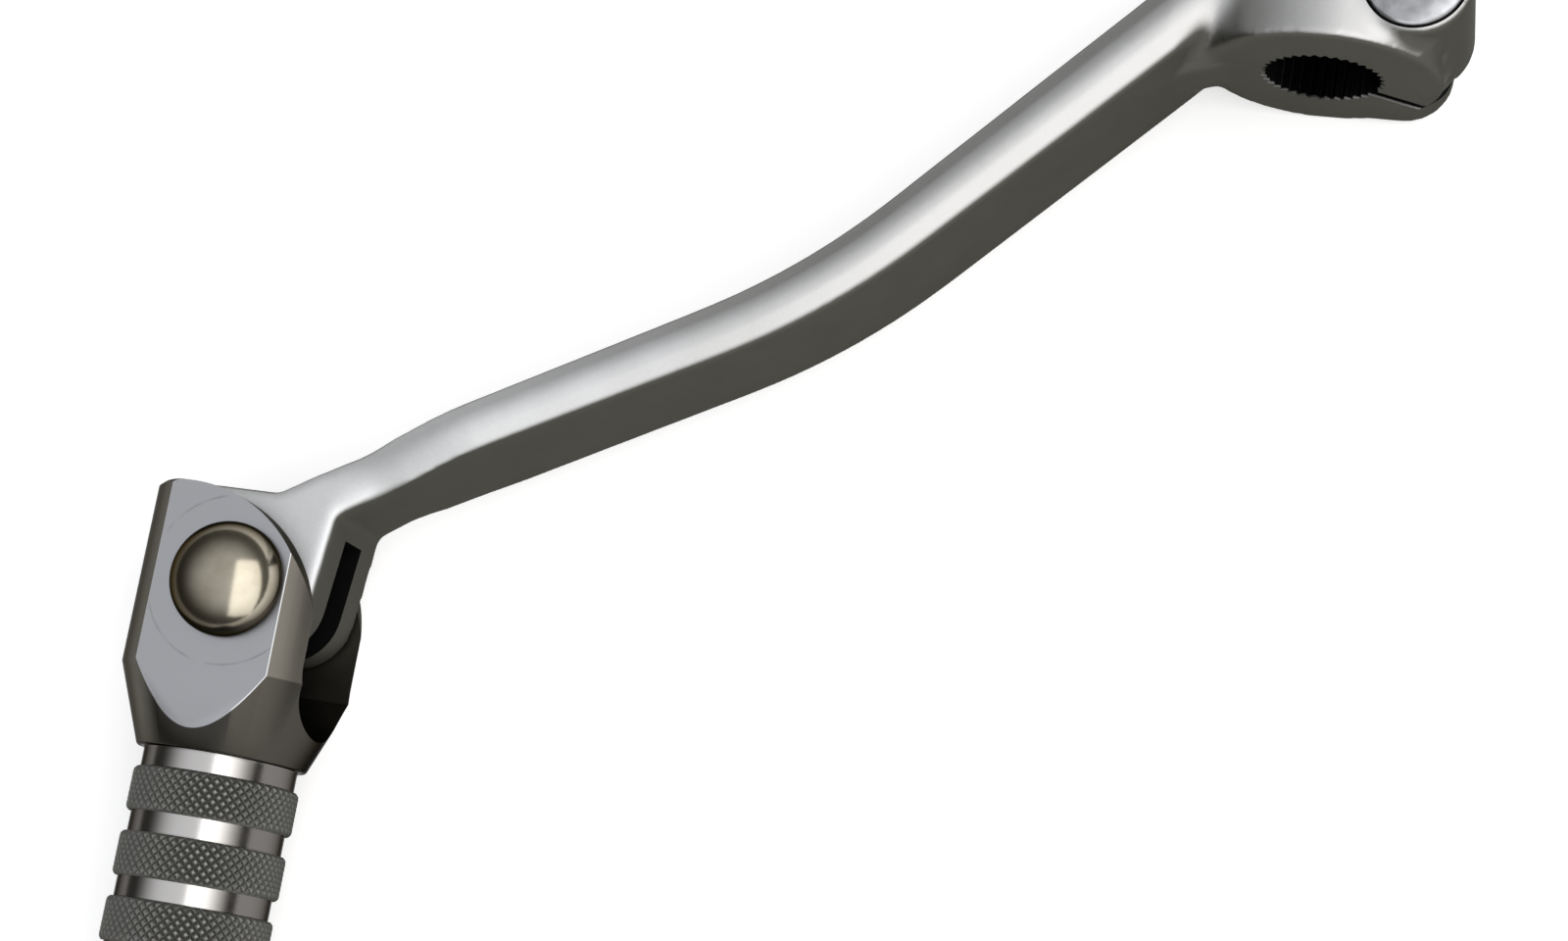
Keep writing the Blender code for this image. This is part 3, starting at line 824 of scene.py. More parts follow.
def settle(piece: Object, sharp: float = SHARP) -> None:
    """Applies a piece's modifiers to its mesh."""
    mesh = evaluated(piece)
    piece.modifiers.clear()
    old = piece.data
    piece.data = mesh
    mesh.name = piece.name
    bpy.data.meshes.remove(old)
    shade(mesh, sharp)


@contextmanager
def reworked(piece: Object) -> Iterator[BMesh]:
    """Opens a piece's mesh for work and writes it back."""
    work = bmesh.new()
    work.from_mesh(piece.data)
    yield work
    work.to_mesh(piece.data)
    work.free()


def relax(work: BMesh, verts: list[BMVert]) -> None:
    """Moves vertices half way towards the middle of their neighbours."""
    bmesh.ops.smooth_vert(
        work, verts=verts, factor=0.5, use_axis_x=True, use_axis_y=True, use_axis_z=True
    )


def fill_corners(piece: Object, reach: int, passes: int, bent: float = 15.0) -> None:
    """Rounds the hollow corners of a finely meshed piece and leaves its outer edges alone.

    Args:
        piece: the object.
        reach: how many faces out from a corner are taken in.
        passes: how often they are smoothed.
        bent: angle in degrees from which an edge counts as a corner.
    """
    limit = math.radians(bent)
    with reworked(piece) as work:
        hollow, outer = set(), set()
        for edge in work.edges:
            angle = edge.calc_face_angle_signed(0)
            if abs(angle) > limit:
                (hollow if angle < 0 else outer).update(edge.verts)
        found = hollow - outer
        rim = set(found)
        for _ in range(reach):
            near = {edge.other_vert(vert) for vert in rim for edge in vert.link_edges}
            rim = near - found - outer
            found |= rim
        for _ in range(passes):
            relax(work, list(found))


def melt(piece: Object, spots: list[tuple[Vector, float]], passes: int) -> None:
    """Smooths a finely meshed piece inside balls, most at their middles.

    Args:
        piece: the object.
        spots: (centre, radius) of each ball, in millimetres.
        passes: how often a ball's middle is smoothed.
    """
    with reworked(piece) as work:
        for centre, radius in spots:
            near = [(vert, (vert.co - centre * MM).length / MM) for vert in work.verts]
            for i in range(passes):
                reach = radius * (1 - 0.7 * i / passes)
                near = [(vert, away) for vert, away in near if away < reach]
                relax(work, [vert for vert, _ in near])


def carve(piece: Object, *cutters: Solid, sharp: float = SHARP) -> Object:
    """Cuts shapes out of a piece.

    Args:
        piece: the object.
        cutters: the shapes, which are used up.
        sharp: angle in degrees past which an edge isn't smoothed over.

    Returns:
        The same object.
    """
    tools = [cutter.keep(f"{piece.name}_cutter_{i}") for i, cutter in enumerate(cutters)]
    for tool in tools:
        cut = piece.modifiers.new(tool.name, "BOOLEAN")
        cut.operation = "DIFFERENCE"
        cut.solver = "EXACT"
        cut.object = tool
    settle(piece, sharp)
    for tool in tools:
        bpy.data.objects.remove(tool, do_unlink=True)
    return piece


def dress(piece: Object, finish: Finish, body: Body, *nodes: str) -> None:
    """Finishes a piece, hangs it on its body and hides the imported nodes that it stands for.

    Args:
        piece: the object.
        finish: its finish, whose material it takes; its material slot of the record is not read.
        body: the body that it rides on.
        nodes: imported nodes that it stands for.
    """
    piece.data.materials.clear()
    piece.data.materials.append(finish.look)
    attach(piece, body.value)
    if nodes:
        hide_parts(*nodes)
    log.info("%s: %d faces, rides on %s", piece.name, len(piece.data.polygons), body.value)


# --- sub-assemblies ---


@dataclass
class ForgedArm:
    """The forging: boss, lug, pillar, arm and forked tongue blended into one skin."""

    layout: Layout
    lug_back: float = 12.4
    lug_bottom: float = 11.2
    lug_top: float = 7.6
    lug_corner: float = 4.8
    pillar_radius: float = 5.7
    pillar_top: float = 11.3
    pillar_foot: float = 6.5
    pillar_round: float = 0.7
    bolt_hole: float = 3.25
    bolt_well: float = 5.25
    bolt_seat: float = 5.75
    bore_teeth: int = 36
    bore_tip: float = 5.75
    bore_root: float = 6.3
    tip_angle: float = math.radians(28.3)
    hub_angle: float = math.radians(45.6)
    hub_entry: float = 10.5
    hub_bend_radius: float = 6.0
    bend_radius: float = 75.0
    tip_bend: Pair = (-19.0, -17.66)
    tip_bend_radius: float = 30.0
    root: Pair = (-8.2, -11.1)
    width_tip: float = 5.2
    width_hub: float = 6.4
    side_height: float = 14.2
    crown: float = 0.9
    edge: float = 0.7
    web_length: float = 10.0
    web_height: float = 12.4
    web_round: float = 3.0
    ramp_start: float = 15.0
    ramp_length: float = 15.0
    tongue_height: float = 13.1
    tongue_nose: float = 6.2
    tongue_back: float = 7.4
    tongue_draft: float = 1.5
    tongue_front: float = 7.2
    tongue_inboard: float = 10.2
    tongue_round: float = 1.4
    tongue_overlap: float = 3.0
    tongue_corner: float = 1.2
    tongue_nose_round: float = 5.6
    lap: float = 0.1
    voxel: float = 0.34
    soften_passes: int = 8
    fillet_reach: int = 7
    fillet_passes: int = 60
    seam_reach: float = 5.0
    seam_passes: int = 50
    web_seam_up: float = 7.4
    stations: int = 60
    sharp: float = 40.0

    def centre_line(self) -> list[Vector]:
        """Corners of the arm's centre line with their bends rounded, in plan."""
        hub = self.layout.bore.xy
        front = hub + Vector((self.hub_entry, 0))
        near_tip = self.layout.from_pin(*self.tip_bend).xy
        root = self.layout.from_pin(*self.root).xy
        into_hub = Vector((math.cos(self.hub_angle), math.sin(self.hub_angle)))
        into_tip = Vector((math.cos(self.tip_angle), math.sin(self.tip_angle)))
        gap = near_tip - front
        reach = gap.cross(into_tip) / into_hub.cross(into_tip)
        bend = front + into_hub * reach
        return [
            hub,
            *bend_points(hub, front, bend, self.hub_bend_radius),
            *bend_points(front, bend, near_tip, self.bend_radius),
            *bend_points(bend, near_tip, root, self.tip_bend_radius),
            root,
        ]

    def section(self) -> list[Pair]:
        """Outline across the arm at unit half width and height: flat sides, crowned ends."""
        lip = 1 - self.edge / (self.width_hub / 2)
        side = self.side_height / 2
        full = side + self.edge + self.crown
        upper = [(1.0, side / full), (1 - (1 - lip) * 0.3, (side + self.edge * 0.7) / full)]
        for i in range(5):
            across = lip * (1 - i / 2)
            rise = self.edge + self.crown * (1 - (across / lip) ** 2)
            upper.append((across, (side + rise) / full))
        upper += [(-x, z) for x, z in reversed(upper[:2])]
        return upper + [(-x, -z) for x, z in upper]

    def web_section(self) -> list[Pair]:
        """Outline across the web at unit half width and height: a steep roof, round corners."""
        across = self.web_round / (self.layout.hub_width / 2)
        up = self.web_round / (self.web_height / 2)
        lower = [
            (1 - across + across * math.cos(turn), -1 + up - up * math.sin(turn))
            for turn in (math.radians(22.5 * i) for i in range(5))
        ]
        ridge = self.side_height / self.web_height
        upper = [(1.0, 0.25), (self.width_tip / self.layout.hub_width, ridge)]
        half = lower[::-1] + upper
        return half + [(-x, z) for x, z in reversed(half)]

    def loft(self, outline: list[Pair], stations: list[tuple[Vector, Vector, Pair]]) -> Solid:
        """Extrudes an outline station by station.

        Args:
            outline: (across, up) points at unit half width and half height.
            stations: place, direction and (width, height) at each station.

        Returns:
            The closed shape.
        """
        made = Solid()
        cap = made.mesh.faces.new([made.mesh.verts.new((0, across, up)) for across, up in outline])
        there = Matrix.Identity(4)
        for i, (spot, along, (wide, high)) in enumerate(stations):
            turn = Matrix.Rotation(math.atan2(along.y, along.x), 4, "Z")
            middle = Matrix.Translation((spot.x, spot.y, self.layout.pin.z))
            here = middle @ turn @ Matrix.Diagonal((1, wide / 2, high / 2, 1))
            if i:
                grown = bmesh.ops.extrude_face_region(made.mesh, geom=[cap])["geom"]
                cap = next(item for item in grown if isinstance(item, BMFace))
            bmesh.ops.transform(made.mesh, matrix=here @ there.inverted(), verts=cap.verts[:])
            there = here
        return made.closed()

    def beam(self) -> Solid:
        """The arm along its whole centre line."""
        stations = spaced(self.centre_line(), self.stations)
        length = stations[-1][2]
        full = self.side_height + 2 * (self.edge + self.crown)
        sized = []
        for spot, along, travelled in stations:
            from_pin = (spot - self.layout.pin.xy).length
            ramp = smooth((from_pin - self.ramp_start) / self.ramp_length)
            wide = mix(self.width_hub, self.width_tip, smooth(travelled / length))
            sized.append((spot, along, (wide, mix(self.tongue_height - self.lap, full, ramp))))
        return self.loft(self.section(), sized)

    def web(self) -> Solid:
        """The web that widens the arm into the hub, below its crown."""
        end = self.hub_entry + self.web_length
        sized = []
        for spot, along, travelled in spaced(self.centre_line(), 2 * self.stations):
            if travelled <= end:
                flare = 1 - smooth((travelled - self.hub_entry) / self.web_length)
                thin, thick = self.width_hub - 4 * self.lap, self.layout.hub_width - 2 * self.lap
                wide = mix(thin, thick, flare)
                sized.append((spot, along, (wide, self.web_height)))
        return self.loft(self.web_section(), sized)

    def hub(self) -> Solid:
        """Boss, lug and pillar as overlapping solids."""
        at = self.layout.from_bore
        half = self.layout.hub_width / 2
        boss = Solid.bar(self.layout.hub_radius, at(0, -half), at(0, half))
        bore, corner = self.layout.bore, self.lug_corner
        rear, front = bore.x - self.lug_back, bore.x + 1
        low, high = bore.y - half, bore.y + half
        lug = Solid.plate(
            [(rear, low, corner), (front, low, 0), (front, high, 0), (rear, high, corner)],
            bore.z - self.lug_bottom,
            bore.z + self.lug_top,
        )
        back = -self.layout.bolt_back
        foot, top = at(back, 0, -self.pillar_foot), at(back, 0, self.pillar_top)
        pillar = Solid.bar(self.pillar_radius, foot, top)
        return boss.joined(lug).joined(pillar.ease_edges(self.pillar_round, 4, 60))

    def tongue(self) -> Solid:
        """The forked end before its slot and hole are cut."""
        root = self.layout.from_pin(*self.root).xy
        along = (root - self.layout.from_pin(*self.tip_bend).xy).normalized()
        side = Vector((-along.y, along.x)) * (self.width_tip / 2 - self.lap)
        end = root - along * self.tongue_overlap
        at = self.layout.from_pin
        back_low = at(-self.tongue_back - self.tongue_draft, 0).xy
        back = back_low + Vector((0, (root + side - back_low).cross(along) / along.x * -1))
        inner_y = self.layout.pin.y - self.tongue_inboard
        inner_x = (root - side).x + (inner_y - (root - side).y) * along.x / along.y
        corner, nose = self.tongue_corner, self.tongue_nose_round
        corners = [
            (*at(self.tongue_front, -self.tongue_inboard).xy, corner),
            (*at(self.tongue_front, self.tongue_nose).xy, nose),
            (*at(-self.tongue_back, self.tongue_nose).xy, nose),
            (back.x, back.y, corner),
            (*(end + side), 0),
            (*(end - side), 0),
            (inner_x, inner_y, corner),
        ]
        middle, half = self.layout.pin.z, self.tongue_height / 2
        made = Solid.plate(corners, middle - half, middle + half)
        return made.ease_edges(self.tongue_round, 5, 60, middle)

    def bore_cutter(self) -> Solid:
        """Serrated spindle bore."""
        made = Solid()
        bmesh.ops.create_circle(
            made.mesh, cap_ends=True, segments=2 * self.bore_teeth, radius=self.bore_root
        )
        made.mesh.verts.ensure_lookup_table()
        tips = [vert for vert in made.mesh.verts if vert.index % 2 == 0]
        share = self.bore_tip / self.bore_root
        bmesh.ops.scale(made.mesh, vec=(share, share, 1), verts=tips)
        length = 2 * self.layout.hub_width
        bmesh.ops.translate(made.mesh, vec=(0, 0, -length / 2), verts=made.mesh.verts)
        made.thicken(length)
        return made.closed().moved(Matrix.Translation(self.layout.bore) @ QUARTER)

    def slit_cutter(self) -> Solid:
        """Saw cut from the bore out through the lug."""
        layout = self.layout
        reach, width, half = 3 * layout.hub_radius, layout.hub_width, layout.slit_width / 2
        made = Solid.block((-reach, -width, -half), (0, width, half))
        lean = Matrix.Rotation(-layout.slit_angle, 4, "Y")
        return made.moved(Matrix.Translation(layout.bore) @ lean)

    def seams(self) -> list[tuple[Vector, float]]:
        """Balls round the places where the web meets the boss and the tongue meets the arm."""
        into = Vector((math.cos(self.tip_angle), math.sin(self.tip_angle))) * -self.tongue_overlap
        root = Vector(self.root) + into
        half = self.tongue_height / 2
        side = self.layout.hub_width / 2
        centres = [self.layout.from_pin(*root, up * half) for up in (-1, 1)]
        centres.append(self.layout.from_bore(self.hub_entry - 0.5, side - 2.0, self.web_seam_up))
        return [(centre, self.seam_reach) for centre in centres]

    def make(self) -> Object:
        """Blends the blank into one skin and machines it."""
        blank = self.hub().joined(self.web()).joined(self.beam()).joined(self.tongue())
        blank = blank.keep("arm_forging")
        remesh = blank.modifiers.new("skin", "REMESH")
        remesh.mode = "VOXEL"
        remesh.voxel_size = self.voxel * MM
        soften = blank.modifiers.new("tumbled", "SMOOTH")
        soften.factor = 0.5
        soften.iterations = self.soften_passes
        settle(blank)
        fill_corners(blank, self.fillet_reach, self.fillet_passes)
        melt(blank, self.seams(), self.seam_passes)
        layout, at = self.layout, self.layout.from_pin
        far, slot = 20, layout.slot_height / 2
        bolt_low, bolt_seat, bolt_high = (
            layout.from_bore(-layout.bolt_back, 0, up) for up in (-30, self.bolt_seat, 30)
        )
        return carve(
            blank,
            self.bore_cutter(),
            self.slit_cutter(),
            Solid.bar(self.bolt_hole, bolt_low, bolt_high, 64),
            Solid.bar(self.bolt_well, bolt_seat, bolt_high, 96),
            Solid.bar(layout.pin_hole, at(0, 0, -far), at(0, 0, far), 64),
            Solid.block(at(-far, -layout.slot_root, -slot), at(far, far, slot)),
            sharp=self.sharp,
        )


@dataclass
class ClampScrew:
    """M6 socket head screw with its thread."""

    layout: Layout
    seat: float = 6.0
    head_radius: float = 5.0
    head_height: float = 6.0
    radius: float = 3.0
    length: float = 16.5
    pitch: float = 1.0
    thread_depth: float = 0.55
    ridge_half: float = 0.42
    plain: float = 2.5
    socket_flats: float = 5.0
    socket_depth: float = 3.0
    facets: int = 80
    steps: int = 36
    thread_sharp: float = 25.0

    @property
    def place(self) -> Matrix:
        """Where the screw's axis goes, from Z at the origin."""
        return Matrix.Translation(self.layout.from_bore(-self.layout.bolt_back, 0))

    def head(self) -> Solid:
        """Head and the plain part of the shank."""
        top, seat, end = self.seat + self.head_height, self.seat, self.seat - self.length
        rim, shank, core = self.head_radius, self.radius, self.radius - self.thread_depth
        profile = [
            (0, top), (rim - 0.6, top), (rim - 0.15, top - 0.18), (rim, top - 0.6),
            (rim, seat + 0.2), (rim - 0.2, seat), (shank, seat), (shank, seat - self.plain),
            (core, seat - self.plain - 0.4), (core, end + 0.3), (core - 0.4, end), (0, end),
        ]
        return Solid.turned(profile, self.facets, self.place)

    def thread(self) -> Solid:
        """The thread's ridge, spun up the shank."""
        core = self.radius - self.thread_depth - 0.05
        half = self.pitch * self.ridge_half
        low = self.seat - self.length + half
        section = [
            (core, low - half), (self.radius, low - 0.07), (self.radius, low + 0.07),
            (core, low + half),
        ]
        made = Solid()
        face = made.mesh.faces.new([made.mesh.verts.new((r, 0, z)) for r, z in section])
        turns = (self.length - self.plain - 2 * half) / self.pitch
        steps = round(turns * self.steps)
        bmesh.ops.spin(
            made.mesh, geom=[face], cent=(0, 0, 0), axis=(0, 0, 1),
            dvec=(0, 0, self.pitch / self.steps), angle=2 * math.pi * steps / self.steps,
            steps=steps, use_merge=False, use_duplicate=False,
        )
        return made.closed().moved(self.place)

    def make(self) -> list[Object]:
        """Head with its socket, and the thread as its own piece."""
        top = self.seat + self.head_height
        ends = [(0, 0, top - self.socket_depth), (0, 0, top + self.socket_depth)]
        socket = Solid.bar(self.socket_flats / math.sqrt(3), *ends, 6).moved(self.place)
        head = carve(self.head().keep("clamp_screw"), socket)
        return [head, self.thread().keep("clamp_screw_thread", self.thread_sharp)]


@dataclass
class FoldingTip:
    """Clevis and barrel, turned from one bar and milled, with its knurled rings."""

    layout: Layout
    offset: float = 1.0
    radius: float = 11.9
    flats: float = 19.1
    ear_end: float = 9.7
    cone_start: float = 9.1
    cone_end: float = 17.2
    cone_end_radius: float = 8.8
    neck_radius: float = 7.9
    pocket_end: float = 14.1
    pocket_half: float = 6.85
    pocket_front: float = 7.5
    ear_arc_radius: float = 15.4
    ear_arc_x: float = 6.2
    ring_count: int = 5
    ring_radius: float = 8.5
    ring_start: float = 19.4
    ring_width: float = 4.5
    ring_pitch: float = 6.65
    end_chamfer: float = 1.2
    ring_edge: float = 0.3
    knurl_count: int = 52
    knurl_depth: float = 0.22
    knurl_inset: float = 0.22
    knurl_sharp: float = 20.0
    facets: int = 160
    end_facets: int = 96

    @property
    def barrel_end(self) -> float:
        """Distance of the barrel's end from the pin's axis."""
        return self.ring_start + (self.ring_count - 1) * self.ring_pitch + self.ring_width

    @property
    def lay(self) -> Matrix:
        """Lays a shape turned about Z onto the barrel's axis, its +Z going inboard."""
        return Matrix.Translation(self.layout.from_pin(self.offset, 0)) @ QUARTER

    def body(self) -> Object:
        """Clevis and cone."""
        rear, front, foot = self.ear_end, -self.cone_end, self.cone_end_radius
        profile = [
            (0, rear), (self.radius - 0.4, rear), (self.radius, rear - 0.4),
            (self.radius, -self.cone_start), (foot, front + 0.15), (foot - 0.15, front),
            (0, front),
        ]
        at, far, near = self.layout.from_pin, 40, 20
        half, flat = self.pocket_half, self.flats / 2
        centre = self.pocket_end - half
        return carve(
            Solid.turned(profile, self.facets, self.lay).keep("tip_body"),
            Solid.block(at(-far, -far, flat), at(far, far, far)),
            Solid.block(at(-far, -far, -far), at(far, far, -flat)),
            self.ear_cutter(),
            Solid.block(at(-far, -near, -half), at(self.pocket_front, centre, half)),
            Solid.bar(half, at(-far, centre), at(self.pocket_front, centre), 128),
            Solid.bar(self.layout.pin_hole, at(0, 0, -near), at(0, 0, near), 64),
        )

    def neck(self) -> Object:
        """Turned neck that the knurled rings stand on, with a small fillet at the cone."""
        start, end, neck = -self.cone_end, -self.barrel_end, self.neck_radius
        profile = [
            (0, start + 0.3), (neck + 0.35, start + 0.3), (neck + 0.35, start - 0.02),
            (neck + 0.1, start - 0.12), (neck, start - 0.4), (neck, end + 0.5),
            (neck - 0.3, end + 0.2), (0, end + 0.2),
        ]
        return Solid.turned(profile, self.facets, self.lay).keep("turned_neck")

    def ear_cutter(self) -> Solid:
        """What lies outside the arc that clears the arm when the tip swings."""
        far, radius, x = 30, self.ear_arc_radius, self.ear_arc_x
        y = radius - self.ear_end
        corners = [(x - radius, y), (-far, y), (-far, -far), (x, -far), (x, y - radius)]
        for turn in (math.radians(-90 - 3 * i) for i in range(1, 30)):
            corners.append((x + radius * math.cos(turn), y + radius * math.sin(turn)))
        spots = [(*self.layout.from_pin(*corner).xy, 0) for corner in corners]
        middle = self.layout.pin.z
        return Solid.plate(spots, middle - far, middle + far)

    def knurl(self, cell: float) -> BMesh:
        """A flat strip of raised diamonds, as wide as a ring and as long as it is round.

        Args:
            cell: size of one diamond in millimetres.

        Returns:
            The strip, along X, in millimetres.
        """
        work = bmesh.new()
        count, rows = self.knurl_count, math.ceil(self.ring_width / cell) + 2
        bmesh.ops.create_grid(work, x_segments=count, y_segments=rows, size=0.5)
        bmesh.ops.scale(work, vec=(count, rows, 1), verts=work.verts)
        bmesh.ops.poke(work, faces=work.faces)
        inner = [edge for edge in work.edges if not edge.is_boundary]
        ways = [(edge, edge.verts[0].co - edge.verts[1].co) for edge in inner]
        straight = [edge for edge, way in ways if min(abs(way.x), abs(way.y)) < 1e-4]
        bmesh.ops.dissolve_edges(work, edges=straight, use_verts=False)
        bmesh.ops.inset_individual(
            work, faces=work.faces, thickness=self.knurl_inset, depth=self.knurl_depth / cell,
            use_even_offset=True,
        )
        bmesh.ops.scale(work, vec=(cell, cell, cell), verts=work.verts)
        for side in (-1, 1):
            bmesh.ops.bisect_plane(
                work, geom=[*work.verts, *work.edges, *work.faces], clear_outer=True,
                plane_co=(0, side * self.ring_width / 2, 0), plane_no=(0, side, 0),
            )
        return work

    def ring(self, number: int) -> Object:
        """One knurled ring: the strip rolled round the neck, its edges and the last end eased."""
        made = Solid(self.knurl(2 * math.pi * self.ring_radius / self.knurl_count))
        half, last = self.ring_width / 2, number == self.ring_count - 1
        for vert in made.mesh.verts:
            turn = vert.co.x / self.ring_radius
            reach = self.ring_radius - self.knurl_depth + vert.co.z
            gap = half - abs(vert.co.y)
            if gap < self.ring_edge:
                reach = min(reach, self.ring_radius - self.ring_edge + gap)
            if last and vert.co.y > 0 and gap < self.end_chamfer:
                reach = min(reach, self.ring_radius - (self.end_chamfer - gap) * 0.5)
            vert.co = (reach * math.sin(turn), vert.co.y, reach * math.cos(turn))
        bmesh.ops.remove_doubles(made.mesh, verts=made.mesh.verts, dist=1e-3)
        for side in (-1, 1):
            rim = [
                edge for edge in made.mesh.edges
                if edge.is_boundary and all(vert.co.y * side > half - 0.01 for vert in edge.verts)
            ]
            skirt = bmesh.ops.extrude_edge_only(made.mesh, edges=rim)["geom"]
            for vert in (item for item in skirt if isinstance(item, BMVert)):
                flat = Vector((vert.co.x, 0, vert.co.z)).normalized() * (self.neck_radius - 0.2)
                vert.co = (flat.x, vert.co.y, flat.z)
        middle = self.ring_start + number * self.ring_pitch + half
        made.moved(Matrix.Translation(self.layout.from_pin(self.offset, middle)))
        bmesh.ops.recalc_face_normals(made.mesh, faces=made.mesh.faces)
        return made.keep(f"knurled_ring_{number + 1}", self.knurl_sharp)

    def end_face(self) -> Object:
        """Turned end of the barrel, inside the last ring."""
        end = -self.barrel_end
        rim = self.ring_radius - self.end_chamfer / 2
        profile = [
            (0, end + 0.02), (1.1, end + 0.02), (rim - 0.15, end), (rim - 0.2, end + 0.6),
            (0, end + 0.6),
        ]
        return Solid.turned(profile, self.end_facets, self.lay).keep("barrel_end")


@dataclass
class FoldPin:
    """Domed rivet with its closed tail, and the washer under it."""

    layout: Layout
    radius: float = 3.5
    dome_radius: float = 5.9
    dome_height: float = 4.4
    dome_rim: float = 0.15
    seat: float = 9.8
    washer_radius: float = 5.6
    washer_thickness: float = 0.7
    washer_play: float = 0.08
    seat_gap: float = 0.25
    tail_radius: float = 4.7
    tail_height: float = 1.2
    facets: int = 128
    washer_facets: int = 96

    def pin(self) -> Object:
        """The rivet."""
        radius, seat = self.dome_radius, self.seat
        rise = self.dome_height - self.dome_rim
        dome = [
            (radius * math.sin(turn), seat + self.dome_rim + rise * math.cos(turn))
            for turn in (math.radians(3 * i) for i in range(31))
        ]
        tail, high = -seat - self.seat_gap - self.washer_thickness, self.tail_height
        foot = self.tail_radius
        profile = [
            *dome, (radius, seat + 0.05), (radius - 0.05, seat), (self.radius, seat),
            (self.radius, tail), (foot - 0.1, tail), (foot, tail - 0.1), (foot, tail - high / 3),
            (foot * 0.6, tail - high), (foot * 0.45, tail - high), (foot * 0.3, tail - high * 0.55),
            (0, tail - high * 0.4),
        ]
        made = Solid.turned(profile, self.facets, Matrix.Translation(self.layout.pin))
        return made.keep("domed_fold_pin")

    def washer(self) -> Object:
        """The washer."""
        top, low = -self.seat, -self.seat - self.washer_thickness
        bore, outer = self.radius + self.washer_play, self.washer_radius
        profile = [
            (bore, top), (outer - 0.1, top), (outer, top - 0.1), (outer, low + 0.1),
            (outer - 0.1, low), (bore, low), (bore, top),
        ]
        made = Solid.turned(profile, self.washer_facets, Matrix.Translation(self.layout.pin))
        return made.keep("tail_washer")


@dataclass
class ReturnSpring:
    """Torsion spring of round wire inside the tongue's slot.

    The coil stays with the arm. The last quarter turn and the free leg follow the tip, and as the
    tip folds they slide out of the coil's level end, as if it wound on.
    """

    layout: Layout
    wire: float = 0.6
    inner_wire: float = 0.55
    coil: float = 4.8
    half_height: float = 1.62
    pitch: float = 1.365
    climb_to: float = 1.5
    level_from: float = 1.95
    coil_end: float = -5.0
    root_leg: float = 6.6
    stop_leg: float = 12.3
    leg_x: float = 6.65
    step: int = 10
    roundness: int = 4

    def on_coil(self, angle: float, height: float) -> Place:
        """Point of the coil's centre line from the pin, at an angle in degrees and a height."""
        turn = math.radians(angle)
        return self.coil * math.cos(turn), self.coil * math.sin(turn), height

    def coils(self) -> Object:
        """Root leg and the turns up to the level end."""
        first, last = -90, 2 * 360 + self.coil_end
        low, high = -self.half_height, self.half_height
        points = [(-self.root_leg, -self.coil, low), (-self.root_leg / 2, -self.coil, low)]
        for angle in (*range(first, math.ceil(last), self.step), last):
            turns = (angle - first) / 360
            climbed = low + self.pitch * turns
            level = smooth((turns - self.climb_to) / (self.level_from - self.climb_to))
            points.append(self.on_coil(angle, mix(climbed, high, level)))
        return self.bent("torsion_spring", points, self.wire)

    def leg(self) -> Object:
        """Last quarter turn and the leg that bears on the clevis."""
        high = self.half_height
        points = [self.on_coil(angle, high) for angle in range(-100, 1, self.step)]
        points.append((self.leg_x, self.stop_leg, high))
        return self.bent("torsion_spring_leg", points, self.inner_wire)

    def bent(self, name: str, points: list[Place], radius: float) -> Object:
        """A smooth round wire.

        Args:
            name: the piece's name.
            points: its centre line, from the pin, in millimetres.
            radius: half its thickness.

        Returns:
            The wire as a mesh object.
        """
        curve = bpy.data.curves.new(f"{name}_line", "CURVE")
        curve.dimensions = "3D"
        curve.bevel_depth = radius * MM
        curve.bevel_resolution = self.roundness
        curve.use_fill_caps = True
        spline = curve.splines.new("POLY")
        spline.points.add(len(points) - 1)
        for point, spot in zip(spline.points, points):
            point.co = (*self.layout.from_pin(*spot) * MM, 1)
        guide = placed(f"{name}_guide", curve)
        mesh = evaluated(guide)
        bpy.data.objects.remove(guide, do_unlink=True)
        mesh.shade_smooth()
        return placed(name, mesh)


# --- paths and directions ---


def smooth(value: float) -> float:
    """Smooth step from 0 to 1."""
    value = min(1.0, max(0.0, value))
    return value * value * (3 - 2 * value)


def mix(first: float, second: float, share: float) -> float:
    """Value a share of the way from the first to the second."""
    return first + (second - first) * share


def bend_points(before: Vector, corner: Vector, after: Vector, radius: float) -> list[Vector]:
    """Rounds a corner of a path in plan.

    Args:
        before: a point of the path before the corner.
        corner: the corner.
        after: a point of the path after it.
        radius: radius of the arc.

    Returns:
        Points of the arc, in order.
    """
    back = (before - corner).normalized()
    on = (after - corner).normalized()
    half = back.angle(on) / 2
    centre = corner + (back + on).normalized() * radius / math.sin(half)
    first = corner + back * radius / math.tan(half) - centre
    last = corner + on * radius / math.tan(half) - centre
    sweep = first.angle_signed(last)
    count = max(4, math.ceil(abs(sweep) / math.radians(3)))
    return [centre + Matrix.Rotation(-sweep * i / count, 2) @ first for i in range(count + 1)]


def spaced(path: list[Vector], count: int) -> list[tuple[Vector, Vector, float]]:
    """Spaces stations evenly along a path.

    Args:
        path: corners of the path in plan.
        count: number of stations.

    Returns:
        Place, unit direction and distance travelled of each station.
    """
    marks = [0.0]
    for first, second in zip(path, path[1:]):
        marks.append(marks[-1] + (second - first).length)
    distances = [marks[-1] * i / (count - 1) for i in range(count)]
    spots = []
    for distance in distances:
        k = min(bisect_left(marks, distance, 1), len(path) - 1) - 1
        share = (distance - marks[k]) / (marks[k + 1] - marks[k])
        spots.append(path[k].lerp(path[k + 1], share))
    ways = [spots[min(i + 1, count - 1)] - spots[max(i - 1, 0)] for i in range(count)]
    return [(spot, way.normalized(), at) for spot, way, at in zip(spots, ways, distances)]


